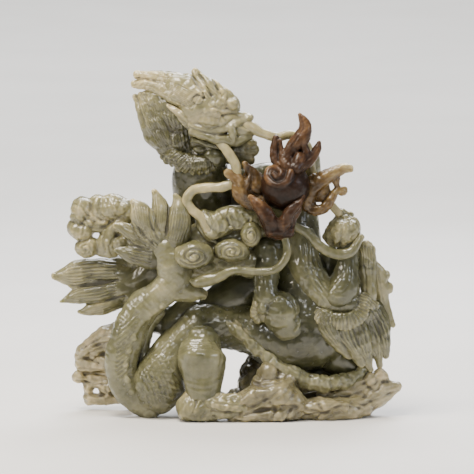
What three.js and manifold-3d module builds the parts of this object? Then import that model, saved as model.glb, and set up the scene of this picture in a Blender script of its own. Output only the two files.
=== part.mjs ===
// Jade figurine: a coiled dragon reaching for a flaming pearl, among clouds, on rocks.
// Millimetres, +Z up, the front faces -Y, the origin is under the middle of the footprint.
import * as THREE from 'three';
import { mergeVertices } from 'three/addons/utils/BufferGeometryUtils.js';
import ManifoldModule from 'manifold-3d';

const wasm = await ManifoldModule();
wasm.setup();
const { Manifold, Mesh: SolidMesh } = wasm;

// Driving dimensions
const GAP = 0.3; // clearance between neighbouring carved parts
const PEARL_RADIUS = 12.5;
const PEARL_CENTRE = [30.5, -15.5, 117.5];
const TUBE_SIDES = 8; // facets round a thick limb
const THIN_SIDES = 6; // facets round a whisker, a ribbon or a leaf
const TOE_COUNT = 3;
const CLAW_COUNT = 4;
const PLATE_DEPTH = 4; // how far the belly plates stand off the belly

// Stone colours
const CELADON = 0xa9ab8c;
const PALE_CELADON = 0xc3c2a0;
const RUSSET = 0x4a2a1c;
const AMBER = 0xa8703a;
const WEATHERED = 0x9a8f72;

// ---------------------------------------------------------------- primitives
// Each primitive is a function of `grow`, so that a neighbour can be cut back by the same
// shape made slightly larger.

function closed(geometry) {
  geometry.deleteAttribute('normal');
  geometry.deleteAttribute('uv');
  return mergeVertices(geometry, 1e-4);
}

// A sphere drawn out along a curve through the stations [x, y, z, radius].
function limb(stations, options = {}) {
  const { sides = TUBE_SIDES, rings = 2 * stations.length, depth = 1, width = 1 } = options;
  const points = stations.map(([x, y, z]) => new THREE.Vector3(x, y, z));
  const curve = new THREE.CatmullRomCurve3(points, false, 'centripetal');
  const radii = stations.map((station) => station[3]);
  const last = stations.length - 1;
  return (grow = 0) => {
    const geometry = closed(new THREE.SphereGeometry(1, sides, rings));
    const position = geometry.attributes.position;
    const across = new THREE.Vector3();
    const outward = new THREE.Vector3();
    const unit = new THREE.Vector3();
    for (let i = 0; i < position.count; i += 1) {
      unit.fromBufferAttribute(position, i);
      const ring = Math.round((Math.acos(THREE.MathUtils.clamp(unit.y, -1, 1)) / Math.PI) * rings);
      const t = THREE.MathUtils.clamp((ring - 1) / (rings - 2), 0, 1);
      const index = Math.min(Math.floor(t * last), last - 1);
      const radius = THREE.MathUtils.lerp(radii[index], radii[index + 1], t * last - index) + grow;
      const centre = curve.getPoint(t);
      const tangent = curve.getTangent(t);
      if (ring === 0) {
        centre.addScaledVector(tangent, -0.8 * radius);
      } else if (ring === rings) {
        centre.addScaledVector(tangent, 0.8 * radius);
      } else {
        across.crossVectors(tangent, new THREE.Vector3(0, 1, 0)).normalize();
        outward.crossVectors(tangent, across).normalize();
        const angle = Math.atan2(unit.z, unit.x);
        const acrossRadius = (radius - grow) * width + grow;
        const outwardRadius = (radius - grow) * depth + grow;
        centre.addScaledVector(across, Math.cos(angle) * acrossRadius);
        centre.addScaledVector(outward, Math.sin(angle) * outwardRadius);
      }
      position.setXYZ(i, centre.x, centre.y, centre.z);
    }
    return geometry;
  };
}

function ribbon(stations, options = {}) {
  return limb(stations, { sides: THIN_SIDES, ...options });
}

// An ellipsoid, turned about the depth axis.
function blob([x, y, z], [rx, ry, rz], options = {}) {
  const { sides = 10, rings = 6, turn = 0 } = options;
  return (grow = 0) => {
    const geometry = closed(new THREE.SphereGeometry(1, sides, rings));
    geometry.scale(rx + grow, ry + grow, rz + grow);
    geometry.rotateY(turn);
    geometry.translate(x, y, z);
    return geometry;
  };
}

// A rock slab: an outline in X and Z, drawn out from the back face to the front face.
function slab(outline, back, front) {
  return (grow = 0) => {
    const middle = new THREE.Vector2();
    outline.forEach(([x, z]) => middle.add(new THREE.Vector2(x, z)));
    middle.divideScalar(outline.length);
    const shape = new THREE.Shape(
      outline.map(([x, z]) => {
        const away = new THREE.Vector2(x, z).sub(middle);
        return away.setLength(away.length() + grow * 1.5).add(middle);
      }),
    );
    const bevel = 2;
    const geometry = new THREE.ExtrudeGeometry(shape, {
      depth: back - front - 2 * bevel + 2 * grow,
      bevelEnabled: true,
      bevelSegments: 1,
      bevelSize: bevel,
      bevelThickness: bevel,
      bevelOffset: -bevel,
    });
    geometry.rotateX(Math.PI / 2);
    geometry.translate(0, back - bevel + grow, 0);
    return closed(geometry);
  };
}

function toSolid(geometry) {
  return new Manifold(
    new SolidMesh({
      numProp: 3,
      vertProperties: new Float32Array(geometry.attributes.position.array),
      triVerts: new Uint32Array(geometry.index.array),
    }),
  );
}

function union(primitives, grow) {
  return Manifold.union(primitives.map((primitive) => toSolid(primitive(grow))));
}

function largestBody(solid) {
  const bodies = solid.decompose();
  return bodies.reduce((best, body) => (body.volume() > best.volume() ? body : best));
}

function toGeometry(solid) {
  const mesh = solid.getMesh();
  const geometry = new THREE.BufferGeometry();
  geometry.setAttribute('position', new THREE.BufferAttribute(new Float32Array(mesh.vertProperties), 3));
  geometry.setIndex(new THREE.BufferAttribute(new Uint32Array(mesh.triVerts), 1));
  geometry.computeVertexNormals();
  return geometry;
}

// ---------------------------------------------------------------- the stone
const figurine = new THREE.Group();
figurine.name = 'jade_figurine';

const ground = toSolid(closed(new THREE.BoxGeometry(400, 400, 100).translate(0, 0, -50)));
const carved = []; // grown copies of the parts carved so far

function overlaps(a, b) {
  const first = a.boundingBox();
  const second = b.boundingBox();
  return [0, 1, 2].every((k) => first.min[k] < second.max[k] && second.min[k] < first.max[k]);
}

// Adds one carved part, cut back clear of every part added before it and flat at z = 0.
function carve(name, colour, primitives, roughness = 0.35) {
  const near = carved.filter((other) => overlaps(union(primitives, 0), other));
  const solid = largestBody(Manifold.difference([union(primitives, 0), ground, ...near]));
  carved.push(union(primitives, GAP));
  const material = new THREE.MeshStandardMaterial({ color: colour, roughness, flatShading: true });
  const mesh = new THREE.Mesh(toGeometry(solid), material);
  mesh.name = name;
  figurine.add(mesh);
}

// ---------------------------------------------------------------- body of the dragon
function carveBody() {
  carve('belly', CELADON, [
    limb([[36, 4, 74, 13], [40, 1, 58, 17], [42, -2, 44, 18.5]], { sides: 10 }),
    limb([[43, -2, 40, 18.5], [31, -2, 37, 16], [17, -2, 42, 13]], { sides: 10 }),
    limb([[19, 2, 63.5, 6], [9.5, 3, 58.5, 6.5], [-1, 3, 53, 6.5], [-12, 3, 47.5, 6]], { rings: 6, sides: 8 }),
    limb([[50.5, 1, 33.5, 11], [60.5, 1, 26.5, 10], [68, 0, 20.5, 6.5], [73.5, 0, 17, 4]], { rings: 6, sides: 8 }),
  ]);
  carve('haunch', CELADON, [
    limb([
      [17, -2, 42, 12],
      [1, -2, 45, 11],
      [-12, -3, 44.5, 12],
    ], { rings: 8 }),
    limb([[-17, 3, 43, 8.5], [-25, 5, 47.5, 7.5], [-31.5, 6, 49.5, 6], [-36, 5, 47.5, 3.5]], { rings: 6, sides: 8 }),
    limb([[-24, 3, 41, 6], [-26.5, 1, 35.5, 5], [-28, -1, 28.5, 5.5]], { rings: 5, sides: 8 }),
  ]);
  carve('back_arch', CELADON, [
    limb([
      [-4, 13, 92, 14],
      [6, 15.5, 103, 12.5],
      [19, 15.7, 109, 13],
      [31, 12, 104, 13],
      [35, 8, 90, 13.5],
      [36, 5, 78, 13],
    ]),
  ]);
  carve('neck', CELADON, [
    limb([
      [-10, 2, 134, 9.5],
      [-10.5, 4, 127, 12.5],
      [-12, 7, 117, 14.5],
      [-10, 10, 106, 15],
      [-6, 12, 94, 14],
    ]),
  ]);
  carve('tail_root', CELADON, [
    limb([
      [-16, -6, 43.5, 9.5],
      [-26, -8, 33, 10],
      [-33, -9, 20, 12],
      [-36, -9, 10.5, 9],
    ]),
    blob([-31, -8, 19], [11.5, 10.5, 13]),
  ]);
  carve('near_thigh', CELADON, [
    limb([
      [-10.5, -13.5, 40, 9],
      [-11.5, -16.5, 32, 12],
      [-10.5, -18.5, 22.5, 10.2],
      [-10.5, -20.5, 13, 8],
    ]),
  ]);
}

function carveTail() {
  carve('tail_outer_band', CELADON, [
    limb([
      [-37, -9, 6, 6],
      [-46, -9, 12, 7.2],
      [-51, -9, 23, 7.8],
      [-50.5, -10, 35, 8.2],
      [-47.5, -10, 46, 8.2],
    ]),
  ]);
  carve('tail_rising_band', CELADON, [
    limb([
      [-47.5, -10, 46, 8.2],
      [-40, -10, 56.5, 8],
      [-30.5, -10, 63.5, 7.8],
      [-25, -10, 71, 8.2],
      [-27, -11, 78, 8],
    ]),
  ]);
  const hairs = [
    [[-29, -11, 78.5, 7.5], [-41, -12, 80, 6.5], [-49.5, -12, 83, 4], [-55.5, -12, 85.5, 1.2]],
    [[-33, -11, 85, 6], [-43.5, -12, 91, 5.5], [-51, -12, 95.5, 3.5], [-56, -12, 97.5, 1.2]],
    [[-34, -12, 86, 6], [-39, -13, 97, 5.5], [-41.5, -13, 105, 4.2], [-45, -12, 109.5, 1.2]],
    [[-31, -12, 86, 6], [-31.5, -13, 97.5, 5.5], [-31.5, -13, 107.5, 4], [-34, -12, 115, 1.2]],
    [[-27, -11, 86, 6], [-23.5, -12, 97.5, 5.5], [-22, -12, 105.5, 4], [-23, -12, 112, 1.2]],
  ];
  carve('tail_tuft', PALE_CELADON, [
    ...hairs.map((hair) => ribbon(hair, { width: 0.9, depth: 0.9 })),
    blob([-31.5, -9.5, 92.5], [12, 4, 11]),
  ]);
  carve('flank_plume', PALE_CELADON, [
    ribbon([[-36, 5, 72, 8], [-54.5, 5, 71.5, 8], [-71, 4, 72, 6], [-87.6, 4, 69.5, 1.2]]),
    ribbon([[-37, 5, 65, 8], [-54.5, 5, 63, 7.5], [-69, 4, 60.5, 5.5], [-83, 4, 56.5, 1.2]]),
    ribbon([[-39, 5, 61, 6], [-52, 5, 58.5, 6], [-62, 4, 55.5, 4.5], [-72, 4, 51.5, 1.2]]),
    blob([-56, 5.5, 64], [19, 4.5, 8.5]),
  ]);
  carve('plume_stem', CELADON, [
    limb([[-14, 6, 92, 8], [-24, 6, 84, 8], [-34, 6, 72, 8]], { rings: 6 }),
  ]);
}

function carveHindFeet() {
  const toes = [];
  for (let i = 0; i < TOE_COUNT; i += 1) {
    const y = -25.5 + 4 * i;
    toes.push(ribbon([[-2, y, 6.5, 3.4], [6, y, 6.5, 3], [12, y, 4, 2.6], [15.5, y, 2, 1.2]], { rings: 6 }));
  }
  carve('near_hind_foot', CELADON, [
    limb([[-18, -22.5, 6.5, 6.5], [-9, -22.5, 7, 6.5], [0, -23, 6.5, 5]], { rings: 6 }),
    ...toes,
  ]);
  carve('far_hind_leg', CELADON, [
    limb([[-10, 8, 44, 9], [-15, 14, 31, 9], [-12, 18, 17, 7], [-14, 19, 5, 7]], { rings: 8 }),
    limb([[-14, 19, 5, 6], [2, 18, 5, 4.5]], { sides: THIN_SIDES, rings: 4 }),
  ]);
}

// ---------------------------------------------------------------- head
function carveHead() {
  carve('head', PALE_CELADON, [
    blob([-8.5, -3, 156], [14, 11, 11.5]),
    limb([[-8, -4, 153, 9.5], [3, -5.5, 151.5, 8], [12.5, -6, 148.5, 4.5]], { rings: 6 }),
    blob([5, -6, 157.5], [5, 6, 4.5], { sides: 8, rings: 5 }),
    blob([-2, -10, 156.5], [5, 4.5, 4.5], { sides: 8, rings: 5 }),
    limb([[-23, -1, 165, 7], [-16.5, -3, 163, 9], [-9, -4.5, 160, 9]], { rings: 5, sides: 8 }),
  ]);
  carve('brow_crest', PALE_CELADON, [
    ribbon([[-6, -4, 164, 5.5], [-10, -3.5, 168.5, 3.8], [-14.5, -3, 174.5, 1.2]], { rings: 6 }),
    ribbon([[1, -5, 161, 4.2], [4, -5, 164, 2.6], [5.5, -5, 167, 1]], { rings: 5 }),
  ]);
  carve('upper_horn', PALE_CELADON, [
    ribbon([[-14, -1, 164, 7], [-23, 0, 167, 6.5], [-30, 1.5, 169, 5], [-37, 3, 170.5, 3.8], [-45.5, 4, 172, 1.8]]),
  ]);
  carve('lower_horn', PALE_CELADON, [
    ribbon([[-16, -4, 158, 5.5], [-26, -2, 163, 5.2], [-32, 0.5, 165.5, 4.5], [-38.5, 2.5, 167, 3.4], [-46.5, 4, 166.5, 1.4]]),
  ]);
  const strands = [
    [[-17, 2, 146, 6], [-29.5, 4, 150.5, 5.5], [-38.5, 5, 157, 4], [-45.5, 5, 161, 1.2]],
    [[-18, 2, 141, 6], [-29, 4, 143.5, 5.5], [-37, 5, 149.5, 4.2], [-42.5, 5, 155.5, 1.5]],
    [[-18, 2, 136, 6], [-29, 4, 137, 5.5], [-36.5, 5, 142, 4], [-41, 5, 148, 1.5]],
    [[-17, 1, 131, 6], [-27, 3, 131, 5], [-34.5, 4, 134.5, 4], [-41, 4, 142.5, 1.5]],
  ];
  carve('mane', PALE_CELADON, [
    ...strands.map((strand) => ribbon(strand)),
    ribbon([[-43, 3.5, 161, 1.6], [-37, 2, 160.5, 4.5], [-31.5, 0.5, 158, 6], [-26, -1.5, 153.5, 6.5], [-22, -4, 148, 5.5]]),
  ]);
  carve('lower_jaw', PALE_CELADON, [
    ribbon([[-14, -7, 141, 4.5], [-6, -8, 138.5, 4.5], [2, -8, 139, 4], [8.5, -7.5, 142, 2.8]]),
    limb([[-12, -1, 138, 8], [-3, -3, 136, 7]], { rings: 5 }),
  ]);
  carve('jaw_ruff', PALE_CELADON, [
    ribbon([[-30.5, -2, 129.5, 1.5], [-22, -7, 126.5, 4], [-13, -10, 124.5, 4.5], [-4, -10, 125.5, 4], [3, -7, 129, 3]]),
    limb([[0, -6, 129.5, 3.5], [3, -1, 131, 4.5], [8, 1, 133, 4]], { rings: 5 }),
    blob([8, 1, 133], [8, 3, 6.2], { sides: 8, rings: 5, turn: -0.35 }),
    blob([13, 1.5, 135.5], [4, 2.6, 5], { sides: 6, rings: 4 }),
  ]);
}

// ---------------------------------------------------------------- clouds
function carveClouds() {
  carve('cloud_bank', CELADON, [
    blob([-13, -7, 86], [14, 12, 9]),
    blob([5, -7, 92], [14, 10, 12]),
    blob([1, -6, 82], [15, 7, 8.5]),
    blob([13, -7, 78], [9.5, 6.5, 7]),
    limb([[-8, -13, 96, 4], [-3, -14, 101, 5.5], [6, -13, 104, 6], [14, -11, 101, 6]], { rings: 7 }),
  ]);
  const scrolls = [
    ['left_scroll_cloud', [-15, -19, 83], [10, 5, 7.2], 0.1],
    ['middle_scroll_cloud', [4, -18.5, 85], [9, 5, 6], -0.15],
    ['right_scroll_cloud', [13, -18, 93.5], [5.5, 5, 6.5], 0],
  ];
  scrolls.forEach(([name, centre, radii, turn]) => {
    carve(name, PALE_CELADON, [blob(centre, radii, { turn })]);
  });
  carve('upper_left_cloud', CELADON, [
    blob([-56, 1, 103.5], [10, 8, 8.5]),
    blob([-62, 2, 101.5], [13, 6, 6]),
    blob([-70.5, 2, 100.5], [8.5, 7, 8]),
    blob([-70, 1, 85], [6.5, 6, 8]),
    blob([-73.5, 1.5, 93], [5.5, 5.5, 6], { sides: 8, rings: 5 }),
    limb([[-51.5, 0, 98, 6], [-58, -1, 91, 5], [-60, 0, 82, 5.5], [-58, 3, 74, 5]], { rings: 7 }),
  ]);
  carve('lower_left_cloud_curl', WEATHERED, [
    limb([[-44, 8, 40, 6], [-56, 13, 40, 6.2], [-66, 14, 34.5, 6], [-71, 14, 26.5, 5.2], [-73, 14, 17, 4.5]]),
    limb([[-67, 12.5, 32, 4], [-60, 12, 33, 4.2], [-52, 12, 32, 4.5]], { sides: THIN_SIDES, rings: 4 }),
  ]);
  carve('lower_left_cloud_foot', WEATHERED, [
    limb([[-73, 14, 14, 4.5], [-65, 14, 6, 5.5], [-56, 14, 5, 5.5], [-44, 12, 6, 6]], { rings: 7 }),
    blob([-62, 14, 22], [9, 6, 6], { sides: 8, rings: 5 }),
    limb([[-61, 14, 22, 4], [-68, 14, 21, 3.5]], { sides: THIN_SIDES, rings: 4 }),
    limb([[-60, 14, 21, 3.5], [-57.5, 14, 9, 4]], { sides: THIN_SIDES, rings: 4 }),
  ]);
}

// ---------------------------------------------------------------- forelegs
function carveRaisedForeleg() {
  carve('raised_upper_arm', CELADON, [
    limb([[37.5, -1.5, 90, 8], [39.5, -4.5, 80, 8.5], [44, -8.5, 69, 8.5], [52, -11.5, 61, 8]], { rings: 7 }),
    blob([53, 1, 74], [7, 5, 11.5], { sides: 8, rings: 5 }),
  ]);
  carve('raised_forearm', CELADON, [
    limb([[61.5, -8, 88, 6], [62, -9, 80, 5.6], [61.5, -10, 73, 6.3], [58.5, -12, 63, 9]], { rings: 7 }),
  ]);
  const claws = [];
  for (let i = 0; i < CLAW_COUNT; i += 1) {
    const x = 54.5 + 4 * i;
    claws.push(ribbon([[x, -9, 96, 2.8], [x + 0.5, -12, 102, 2.4], [x, -17, 101, 1.6]], { rings: 5, depth: 1 }));
  }
  carve('raised_fist', PALE_CELADON, [
    blob([60.5, -7, 93.5], [9.5, 9, 9]),
    ...claws,
  ]);
  carve('elbow_ruff', PALE_CELADON, [
    ribbon([
      [44, -15, 65, 2],
      [47, -18, 55, 3.6],
      [55, -20, 49, 4],
      [64, -19, 49, 4],
      [71, -15, 54, 3.8],
      [77, -11, 58.5, 1.8],
    ], { depth: 1.3 }),
    blob([59, -12, 57], [10, 8, 8]),
  ]);
  const feathers = [
    [[50, -16, 53, 4.5], [52.5, -18, 46.5, 4.8], [57.5, -15.5, 38, 4], [63, -12, 31, 1.4]],
    [[57, -12, 50.5, 5.5], [60.5, -13, 41.5, 5.2], [65, -11.5, 33.5, 3.8], [69, -10, 26.5, 1.4]],
    [[65, -9.5, 49, 5.5], [68, -10, 39.5, 5.2], [71, -9.5, 31.5, 3.6], [73.5, -9, 24.5, 1.3]],
    [[71, -5, 52, 4.5], [77.5, -3, 39, 4], [82, -2, 29, 1.2]],
    [[72, -4, 56, 4.5], [78.5, -2, 46, 3.5], [83, -1, 37, 1.2]],
  ];
  carve('elbow_plume', PALE_CELADON, feathers.map((feather) => ribbon(feather, { rings: 6, depth: 1.2 })));
  carve('side_leaf', PALE_CELADON, [
    ribbon([[69.5, -5, 90, 2], [72, -4, 80, 5], [70.5, -5, 68, 4.5], [70, -6, 60, 3]]),
  ]);
  carve('side_streamer', PALE_CELADON, [
    ribbon([[75, -3, 80, 2], [76.5, -2, 74, 3.2], [78.5, -1, 63, 3.4], [81.5, 0, 53, 2.8], [85, 0, 44.5, 1.2]]),
    blob([81.5, 0, 69.5], [3, 2.6, 2.6], { sides: 6, rings: 4 }),
    blob([83, 0, 63], [3.2, 2.8, 2.8], { sides: 6, rings: 4 }),
  ]);
}

function carveNearForeleg() {
  carve('near_foreleg', CELADON, [
    limb([[22, -6.5, 84, 8.5], [21.5, -10, 75.5, 7], [21, -13.5, 68, 6], [21, -15, 61, 6.5]], { rings: 7 }),
    blob([28.5, -12, 54], [10, 9.5, 11.5]),
  ]);
  carve('foreleg_cuff', PALE_CELADON, [
    ribbon([[20, -14.5, 63, 4], [17, -16, 58, 3.2], [15.5, -16.5, 54, 2.8], [17, -16, 50, 2.2]], { rings: 6 }),
    blob([19.5, -14, 53.5], [4, 4.5, 5], { sides: 8, rings: 5 }),
  ]);
  carve('belly_plates', PALE_CELADON, [
    ribbon([
      [-4, -12, 47.5, 3],
      [5.5, -13, 43, 3.5],
      [15.5, -15, 36, 4],
      [24, -16, 29.5, PLATE_DEPTH],
      [36, -17, 22.5, 4.5],
      [48.5, -16, 19.5, 4.5],
      [61, -12, 21, 4],
      [70, -8, 25, 2.5],
    ], { depth: 1.1 }),
  ]);
}

// ---------------------------------------------------------------- pearl and flames
function carvePearl() {
  carve('flaming_pearl', RUSSET, [
    blob(PEARL_CENTRE, [PEARL_RADIUS, PEARL_RADIUS, PEARL_RADIUS], { sides: 16, rings: 10 }),
  ], 0.25);
  carve('pearl_base_flames', RUSSET, [
    ribbon([[13, -22, 113.5, 1.2], [18.5, -24.5, 109, 3.5], [21.5, -24, 101.5, 4.5], [25, -22, 95, 4.5]]),
    ribbon([[39.5, -23, 114, 1.2], [34, -25.5, 108.5, 3], [29.5, -24.5, 101.5, 4.2], [28, -22, 95, 4.5]]),
    blob([28, -16, 95.5], [9.5, 10, 5.5], { sides: 8 }),
  ], 0.25);
  carve('crown_flames', RUSSET, [
    ribbon([
      [37, -15, 154.5, 1.1],
      [39, -15.6, 151, 2.4],
      [39.5, -16.3, 147.5, 3],
      [36.5, -17.5, 140.5, 3.2],
      [33, -19, 133, 3.4],
      [33, -17, 127, 4],
    ]),
    ribbon([[24.3, -16, 143, 1.1], [26.5, -16, 138.5, 2.6], [27.5, -17, 134, 3.2], [31.5, -18, 129, 3.4]]),
    ribbon([[47, -15, 141.5, 1.1], [46, -16, 135.5, 2.8], [41.5, -18, 130.5, 3.2], [35, -18, 127, 4]]),
  ], 0.25);
  carve('left_flame_wing', AMBER, [
    ribbon([[20, -15, 109, 4.5], [12, -15, 111, 4.5], [11, -16, 118.5, 5], [11.5, -15, 125, 3.2], [9.5, -14, 130.5, 1.2]]),
    ribbon([[13, -15, 110, 4.5], [7, -16, 114, 4], [5, -16, 119.5, 3.2], [0.5, -15, 125, 1.5]], { rings: 7 }),
  ], 0.25);
  carve('right_flame_wing', AMBER, [
    ribbon([[40, -14, 111, 5], [46.5, -14, 119, 4.8], [54.5, -14, 124.5, 4], [64, -13, 128.5, 1.2]]),
    ribbon([[41, -14, 109.5, 4], [49, -15, 108.5, 3.4], [55, -14.5, 114, 3.2], [60.5, -13, 115, 1.4]]),
  ], 0.25);
}

// ---------------------------------------------------------------- whiskers and ribbons
function carveRibbons() {
  carve('upper_whisker', PALE_CELADON, [
    ribbon([
      [12, -8, 147, 3],
      [19, -10, 143.5, 2.5],
      [26, -10, 141.5, 2.5],
      [34, -9, 142.5, 2.2],
      [40, -8, 139, 2.2],
      [43, -7, 132.5, 2.2],
      [44, -6, 123.5, 2.2],
      [49, -6, 114.5, 2.2],
      [53.5, -7, 107.5, 2.2],
      [57, -8, 103, 2.2],
    ], { rings: 16 }),
  ]);
  carve('lower_whisker', PALE_CELADON, [
    ribbon([
      [-1, -11, 138, 2.5],
      [3.5, -13, 131.5, 2.5],
      [6.2, -14, 125.5, 2.5],
      [5, -14, 119.5, 2.4],
      [-1, -14, 117, 2.3],
      [-9, -14, 116.5, 2.3],
      [-15.5, -13, 115, 2.3],
      [-18.5, -13, 110, 2.4],
      [-16, -14, 105.5, 2.4],
      [-11, -14, 101.5, 2.4],
      [-8, -14, 96, 2.4],
    ], { rings: 18 }),
  ]);
  carve('lower_ribbon', PALE_CELADON, [
    ribbon([
      [30, -22, 93, 2],
      [30.5, -23, 86, 2.1],
      [27, -23, 79, 2.1],
      [19, -23, 76, 2.1],
      [9, -23, 76.5, 2.1],
      [0, -23, 74.5, 2.5],
      [-8, -22, 70.5, 2.6],
      [-17, -20, 70, 2.2],
    ], { rings: 14 }),
  ]);
  carve('right_ribbon', PALE_CELADON, [
    ribbon([
      [33, -18, 98, 2.1],
      [41, -18, 94.5, 2.1],
      [47.5, -18, 88, 2.2],
      [56, -17, 83.5, 2.3],
      [63, -16, 84.5, 2.3],
      [68, -14, 91.5, 2],
    ]),
  ]);
}

// ---------------------------------------------------------------- rocks
function carveRocks() {
  carve('front_rock', WEATHERED, [
    slab([[3.5, -3], [4.5, 5], [8.5, 10.5], [14, 15.5], [19, 20.5], [30.5, 19.5], [37.5, 14], [39, -3]], -12, -28),
  ], 0.6);
  carve('right_rock', WEATHERED, [
    slab([[37, -3], [40, 9.5], [53, 10.5], [69, 10], [76, 4], [72, -3]], 8, -24),
    limb([[64, -6, 5, 7], [74, -6, 10, 7.5], [81, -5, 14, 6.5], [87, -5, 14.5, 2]], { rings: 7 }),
    limb([[76, -6, 12, 5], [78, -6, 20, 3.4]], { sides: THIN_SIDES, rings: 4 }),
  ], 0.6);
  carve('back_rock', WEATHERED, [
    limb([[6, 16, 3, 8], [24, 17, 3, 9], [43, 16, 3, 9], [62, 14, 3, 7]], { rings: 8 }),
    limb([[30, 14, 6, 8], [38, 12, 20, 9]], { rings: 5 }),
  ], 0.6);
}

carvePearl();
carveBody();
carveHindFeet();
carveTail();
carveHead();
carveRaisedForeleg();
carveClouds();
carveNearForeleg();
carveRocks();
carveRibbons();

export default figurine;
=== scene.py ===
"""Looks of the jade figurine: a dragon and a flaming pearl among clouds, carved in one stone.

Shapes are worked out in millimetres and written to the meshes in metres, in the CAD's frame.
A station is (x, y, z, radius): a point on a limb's centre line and the limb's radius there.
"""
import math

import bpy
import numpy as np
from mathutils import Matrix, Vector


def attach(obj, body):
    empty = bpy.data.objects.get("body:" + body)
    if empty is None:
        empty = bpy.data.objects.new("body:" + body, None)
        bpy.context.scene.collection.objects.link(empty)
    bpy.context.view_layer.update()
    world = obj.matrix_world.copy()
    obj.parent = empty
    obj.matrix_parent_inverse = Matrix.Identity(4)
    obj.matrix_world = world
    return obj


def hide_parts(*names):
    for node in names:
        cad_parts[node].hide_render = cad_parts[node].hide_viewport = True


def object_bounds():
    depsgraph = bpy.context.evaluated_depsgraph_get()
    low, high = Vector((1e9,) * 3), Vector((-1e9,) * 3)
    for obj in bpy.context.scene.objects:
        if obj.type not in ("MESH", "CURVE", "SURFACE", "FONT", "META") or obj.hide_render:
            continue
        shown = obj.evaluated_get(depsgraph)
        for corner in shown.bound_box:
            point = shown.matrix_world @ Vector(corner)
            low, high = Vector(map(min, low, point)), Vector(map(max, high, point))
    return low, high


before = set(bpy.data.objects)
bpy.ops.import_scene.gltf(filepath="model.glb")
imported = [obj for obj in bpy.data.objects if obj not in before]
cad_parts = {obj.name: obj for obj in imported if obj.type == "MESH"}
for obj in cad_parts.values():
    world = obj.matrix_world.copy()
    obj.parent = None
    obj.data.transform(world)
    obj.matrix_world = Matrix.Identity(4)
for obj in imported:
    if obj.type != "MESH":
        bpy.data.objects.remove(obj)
cad_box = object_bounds()

MM = 0.001
FRONT, BACK = -1, 1  # the carved front faces -Y
CURVE_SAMPLES = 40  # points worked out between two stations before they are spaced evenly
CAP_BEND = np.radians([85, 65, 45, 22])  # where the rings of a limb's rounded end stand
CAP_LENGTH = 0.8  # how far that end stands out, in radii
THINNEST_RELIEF = 0.6  # below this radius a limb takes no relief
OCTAVES, WAVES_EACH = 3, 5  # how the smooth noise is built up
LINE_STEP, PLACE_STEP = 0.4, 0.8  # spacing along a cut line, and along a limb that points are placed on
CHUNK = 20000  # points measured against a line at a time
BOX_SLACK = 1.0  # how far a point may stand past the CAD box, in mm
FULL_HOLLOW = 0.15  # a point this far below its surroundings counts as deep in a groove
RIM_LIGHT = 0.28  # how much paler a sharp rim is than the flat beside it


# ---------------------------------------------------------------- lines and surfaces
def smooth_line(stations, step):
    """A smooth curve through the stations, resampled at equal steps along its length."""
    s = np.array(stations, float)
    p = np.vstack([2 * s[0] - s[1], s, 2 * s[-1] - s[-2]])
    p[[0, -1], 3:] = s[[0, -1], 3:]
    spans = np.sqrt(np.linalg.norm(np.diff(p[:, :3], axis=0), axis=1)) + 1e-6
    knots = np.concatenate([[0], np.cumsum(spans)])
    t = np.linspace(knots[1], knots[-2], CURVE_SAMPLES * len(s))
    i = np.clip(np.searchsorted(knots, t, side="right") - 1, 1, len(p) - 3)

    def mix(a, b, ka, kb):
        w = ((t - ka) / (kb - ka))[:, None]
        return a * (1 - w) + b * w

    k0, k1, k2, k3 = knots[i - 1], knots[i], knots[i + 1], knots[i + 2]
    a1 = mix(p[i - 1], p[i], k0, k1)
    a2 = mix(p[i], p[i + 1], k1, k2)
    a3 = mix(p[i + 1], p[i + 2], k2, k3)
    curve = mix(mix(a1, a2, k0, k2), mix(a2, a3, k1, k3), k1, k2)
    run = np.concatenate([[0], np.cumsum(np.linalg.norm(np.diff(curve[:, :3], axis=0), axis=1))])
    count = max(4, int(run[-1] / step) + 1)
    at = np.linspace(0, run[-1], count)
    return np.stack([np.interp(at, run, curve[:, k]) for k in range(curve.shape[1])], 1), at


def unit(v):
    return v / np.maximum(np.linalg.norm(v, axis=-1, keepdims=True), 1e-9)


def frames(centre):
    """Tangent, across and outward directions along a centre line."""
    tangent = unit(np.gradient(centre, axis=0))
    across = np.cross(tangent, [0.0, 1.0, 0.0])
    across[np.linalg.norm(across, axis=1) < 0.15] = [1.0, 0.0, 0.0]
    across = unit(across)
    return tangent, across, unit(np.cross(tangent, across))


def tube(rows, sides):
    """Quad faces between rings of vertices, closed by a face at each end."""
    i, j = np.meshgrid(np.arange(rows - 1), np.arange(sides), indexing="ij")
    k = (j + 1) % sides
    quads = np.stack([i * sides + j, i * sides + k, (i + 1) * sides + k, (i + 1) * sides + j], -1)
    ends = [list(range(sides))[::-1], list(range((rows - 1) * sides, rows * sides))]
    return quads.reshape(-1, 4).tolist() + ends


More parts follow.
